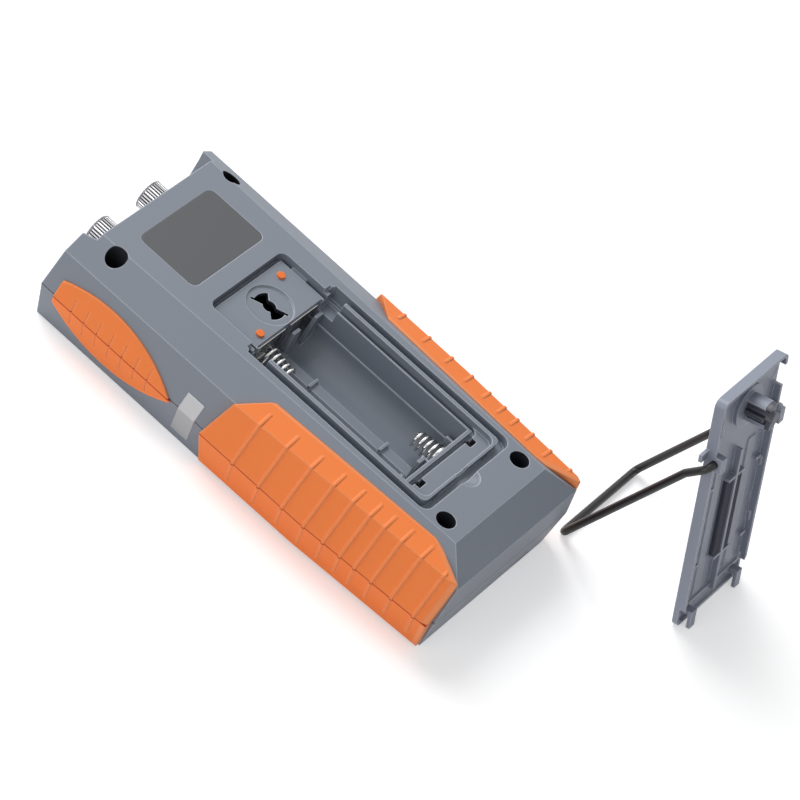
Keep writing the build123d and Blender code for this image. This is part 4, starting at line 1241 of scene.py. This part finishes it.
@dataclass
class Studio:
    """Floor, lights, world and camera."""

    heading: float = 75.2075
    elevation: float = 44.480
    roll: float = 31.402
    aim: tuple[float, float, float] = (0.03479, -0.01322, 0.00109)
    distance: float = 1.31983
    sensor: float = 36.0
    frame_px: float = 800.0
    focal_px: float = 4505.5
    floor_size: float = 6.0
    clip_end: float = 20.0
    world_level: float = 0.3
    world_colour: Colour = (0.98, 0.99, 1.0)
    floor_colour: Colour = (0.93, 0.93, 0.935)
    floor_roughness: float = 0.9
    floor_lift: float = 0.42
    lamps: tuple[Softbox, ...] = (Softbox("key_softbox", (0.4, 1.2, 1.35), 1.3, 26.0),
                                  Softbox("fill_softbox", (-1.7, 0.3, 0.7), 1.2, 8.0))

    def camera(self) -> None:
        """Sets up the camera at the photograph's angle."""
        turn, rise = math.radians(self.heading), math.radians(self.elevation)
        forward = Vector((math.sin(turn) * math.cos(rise), math.cos(turn) * math.cos(rise), -math.sin(rise)))
        right = forward.cross(Vector((0, 0, 1))).normalized()
        up = right.cross(forward)
        lean = math.radians(self.roll)
        tilted_right = right * math.cos(lean) + up * math.sin(lean)
        tilted_up = up * math.cos(lean) - right * math.sin(lean)
        place = Matrix((tilted_right, tilted_up, -forward)).transposed().to_4x4()
        place.translation = Vector(self.aim) - forward * self.distance
        data = bpy.data.cameras.new("photo_view")
        data.sensor_width = self.sensor
        data.lens = self.sensor * self.focal_px / self.frame_px
        data.clip_end = self.clip_end
        camera = add_piece("photo_view", data)
        camera.matrix_world = place
        bpy.context.scene.camera = camera

    def light(self, box: Softbox) -> None:
        """Adds one softbox that points at the meter.

        Args:
            box: The softbox.
        """
        data = bpy.data.lights.new(box.name, "AREA")
        data.size = box.size
        data.energy = box.power
        lamp = add_piece(box.name, data)
        lamp.location = box.place
        lamp.rotation_euler = (Vector(self.aim) - Vector(box.place)).to_track_quat("-Z", "Y").to_euler()

    def seen_rays(self, tree: Tree) -> Socket:
        """One for rays from the camera, from metal and through glass, and nought for the rest.

        Args:
            tree: The tree that it is built in.

        Returns:
            The mask's socket.
        """
        path = tree.nodes.new("ShaderNodeLightPath")
        mirrored = maths(tree, "MAXIMUM", path.outputs["Is Glossy Ray"], path.outputs["Is Transmission Ray"])
        return maths(tree, "MAXIMUM", path.outputs["Is Camera Ray"], mirrored)

    def world(self) -> None:
        """Plain soft surround, seen as white by the camera, metal and glass."""
        world = bpy.data.worlds.new("studio_surround")
        bpy.context.scene.world = world
        world.use_nodes = True
        tree = world.node_tree
        base = tree.nodes["Background"]
        base.inputs["Strength"].default_value = self.world_level
        base.inputs["Color"].default_value = (*self.world_colour, 1.0)
        seen = tree.nodes.new("ShaderNodeBackground")
        seen.inputs["Color"].default_value = (1.0, 1.0, 1.0, 1.0)
        pick = tree.nodes.new("ShaderNodeMixShader")
        tree.links.new(self.seen_rays(tree), pick.inputs["Fac"])
        tree.links.new(base.outputs["Background"], pick.inputs[1])
        tree.links.new(seen.outputs["Background"], pick.inputs[2])
        tree.links.new(pick.outputs["Shader"], tree.nodes["World Output"].inputs["Surface"])

    def floor(self) -> None:
        """Lays the pale floor."""
        half = self.floor_size / 2
        mesh = bpy.data.meshes.new("studio_floor")
        corners = [(-half, -half, 0), (half, -half, 0), (half, half, 0), (-half, half, 0)]
        mesh.from_pydata(corners, [], [(0, 1, 2, 3)])
        floor = add_piece("studio_floor", mesh)
        material = bpy.data.materials.new("studio_floor_white")
        material.use_nodes = True
        tree = material.node_tree
        shader = tree.nodes["Principled BSDF"]
        shader.inputs["Base Color"].default_value = (*self.floor_colour, 1.0)
        shader.inputs["Roughness"].default_value = self.floor_roughness
        shader.inputs["Emission Color"].default_value = (1.0, 1.0, 1.0, 1.0)
        lift = maths(tree, "MULTIPLY", self.seen_rays(tree), self.floor_lift)
        tree.links.new(lift, shader.inputs["Emission Strength"])
        mesh.materials.append(material)

    def build(self) -> None:
        """Sets the whole studio."""
        bpy.context.scene.view_settings.view_transform = "Standard"
        self.camera()
        self.world()
        self.floor()
        for box in self.lamps:
            self.light(box)
        LOG.info("studio set")


def main() -> None:
    """Loads the frame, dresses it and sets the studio."""
    logging.basicConfig(level=logging.INFO)
    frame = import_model()
    finishes = Finishes()
    soft = SoftEdges(frame, finishes)
    MeterCase(frame, finishes, soft).build()
    BatteryBay(frame, finishes).build()
    PortEnd(frame, finishes).build()
    FrontFace(frame, finishes).build()
    DoorAssembly(frame, finishes, soft).build()
    Studio().build()


if __name__ == "__main__":
    main()
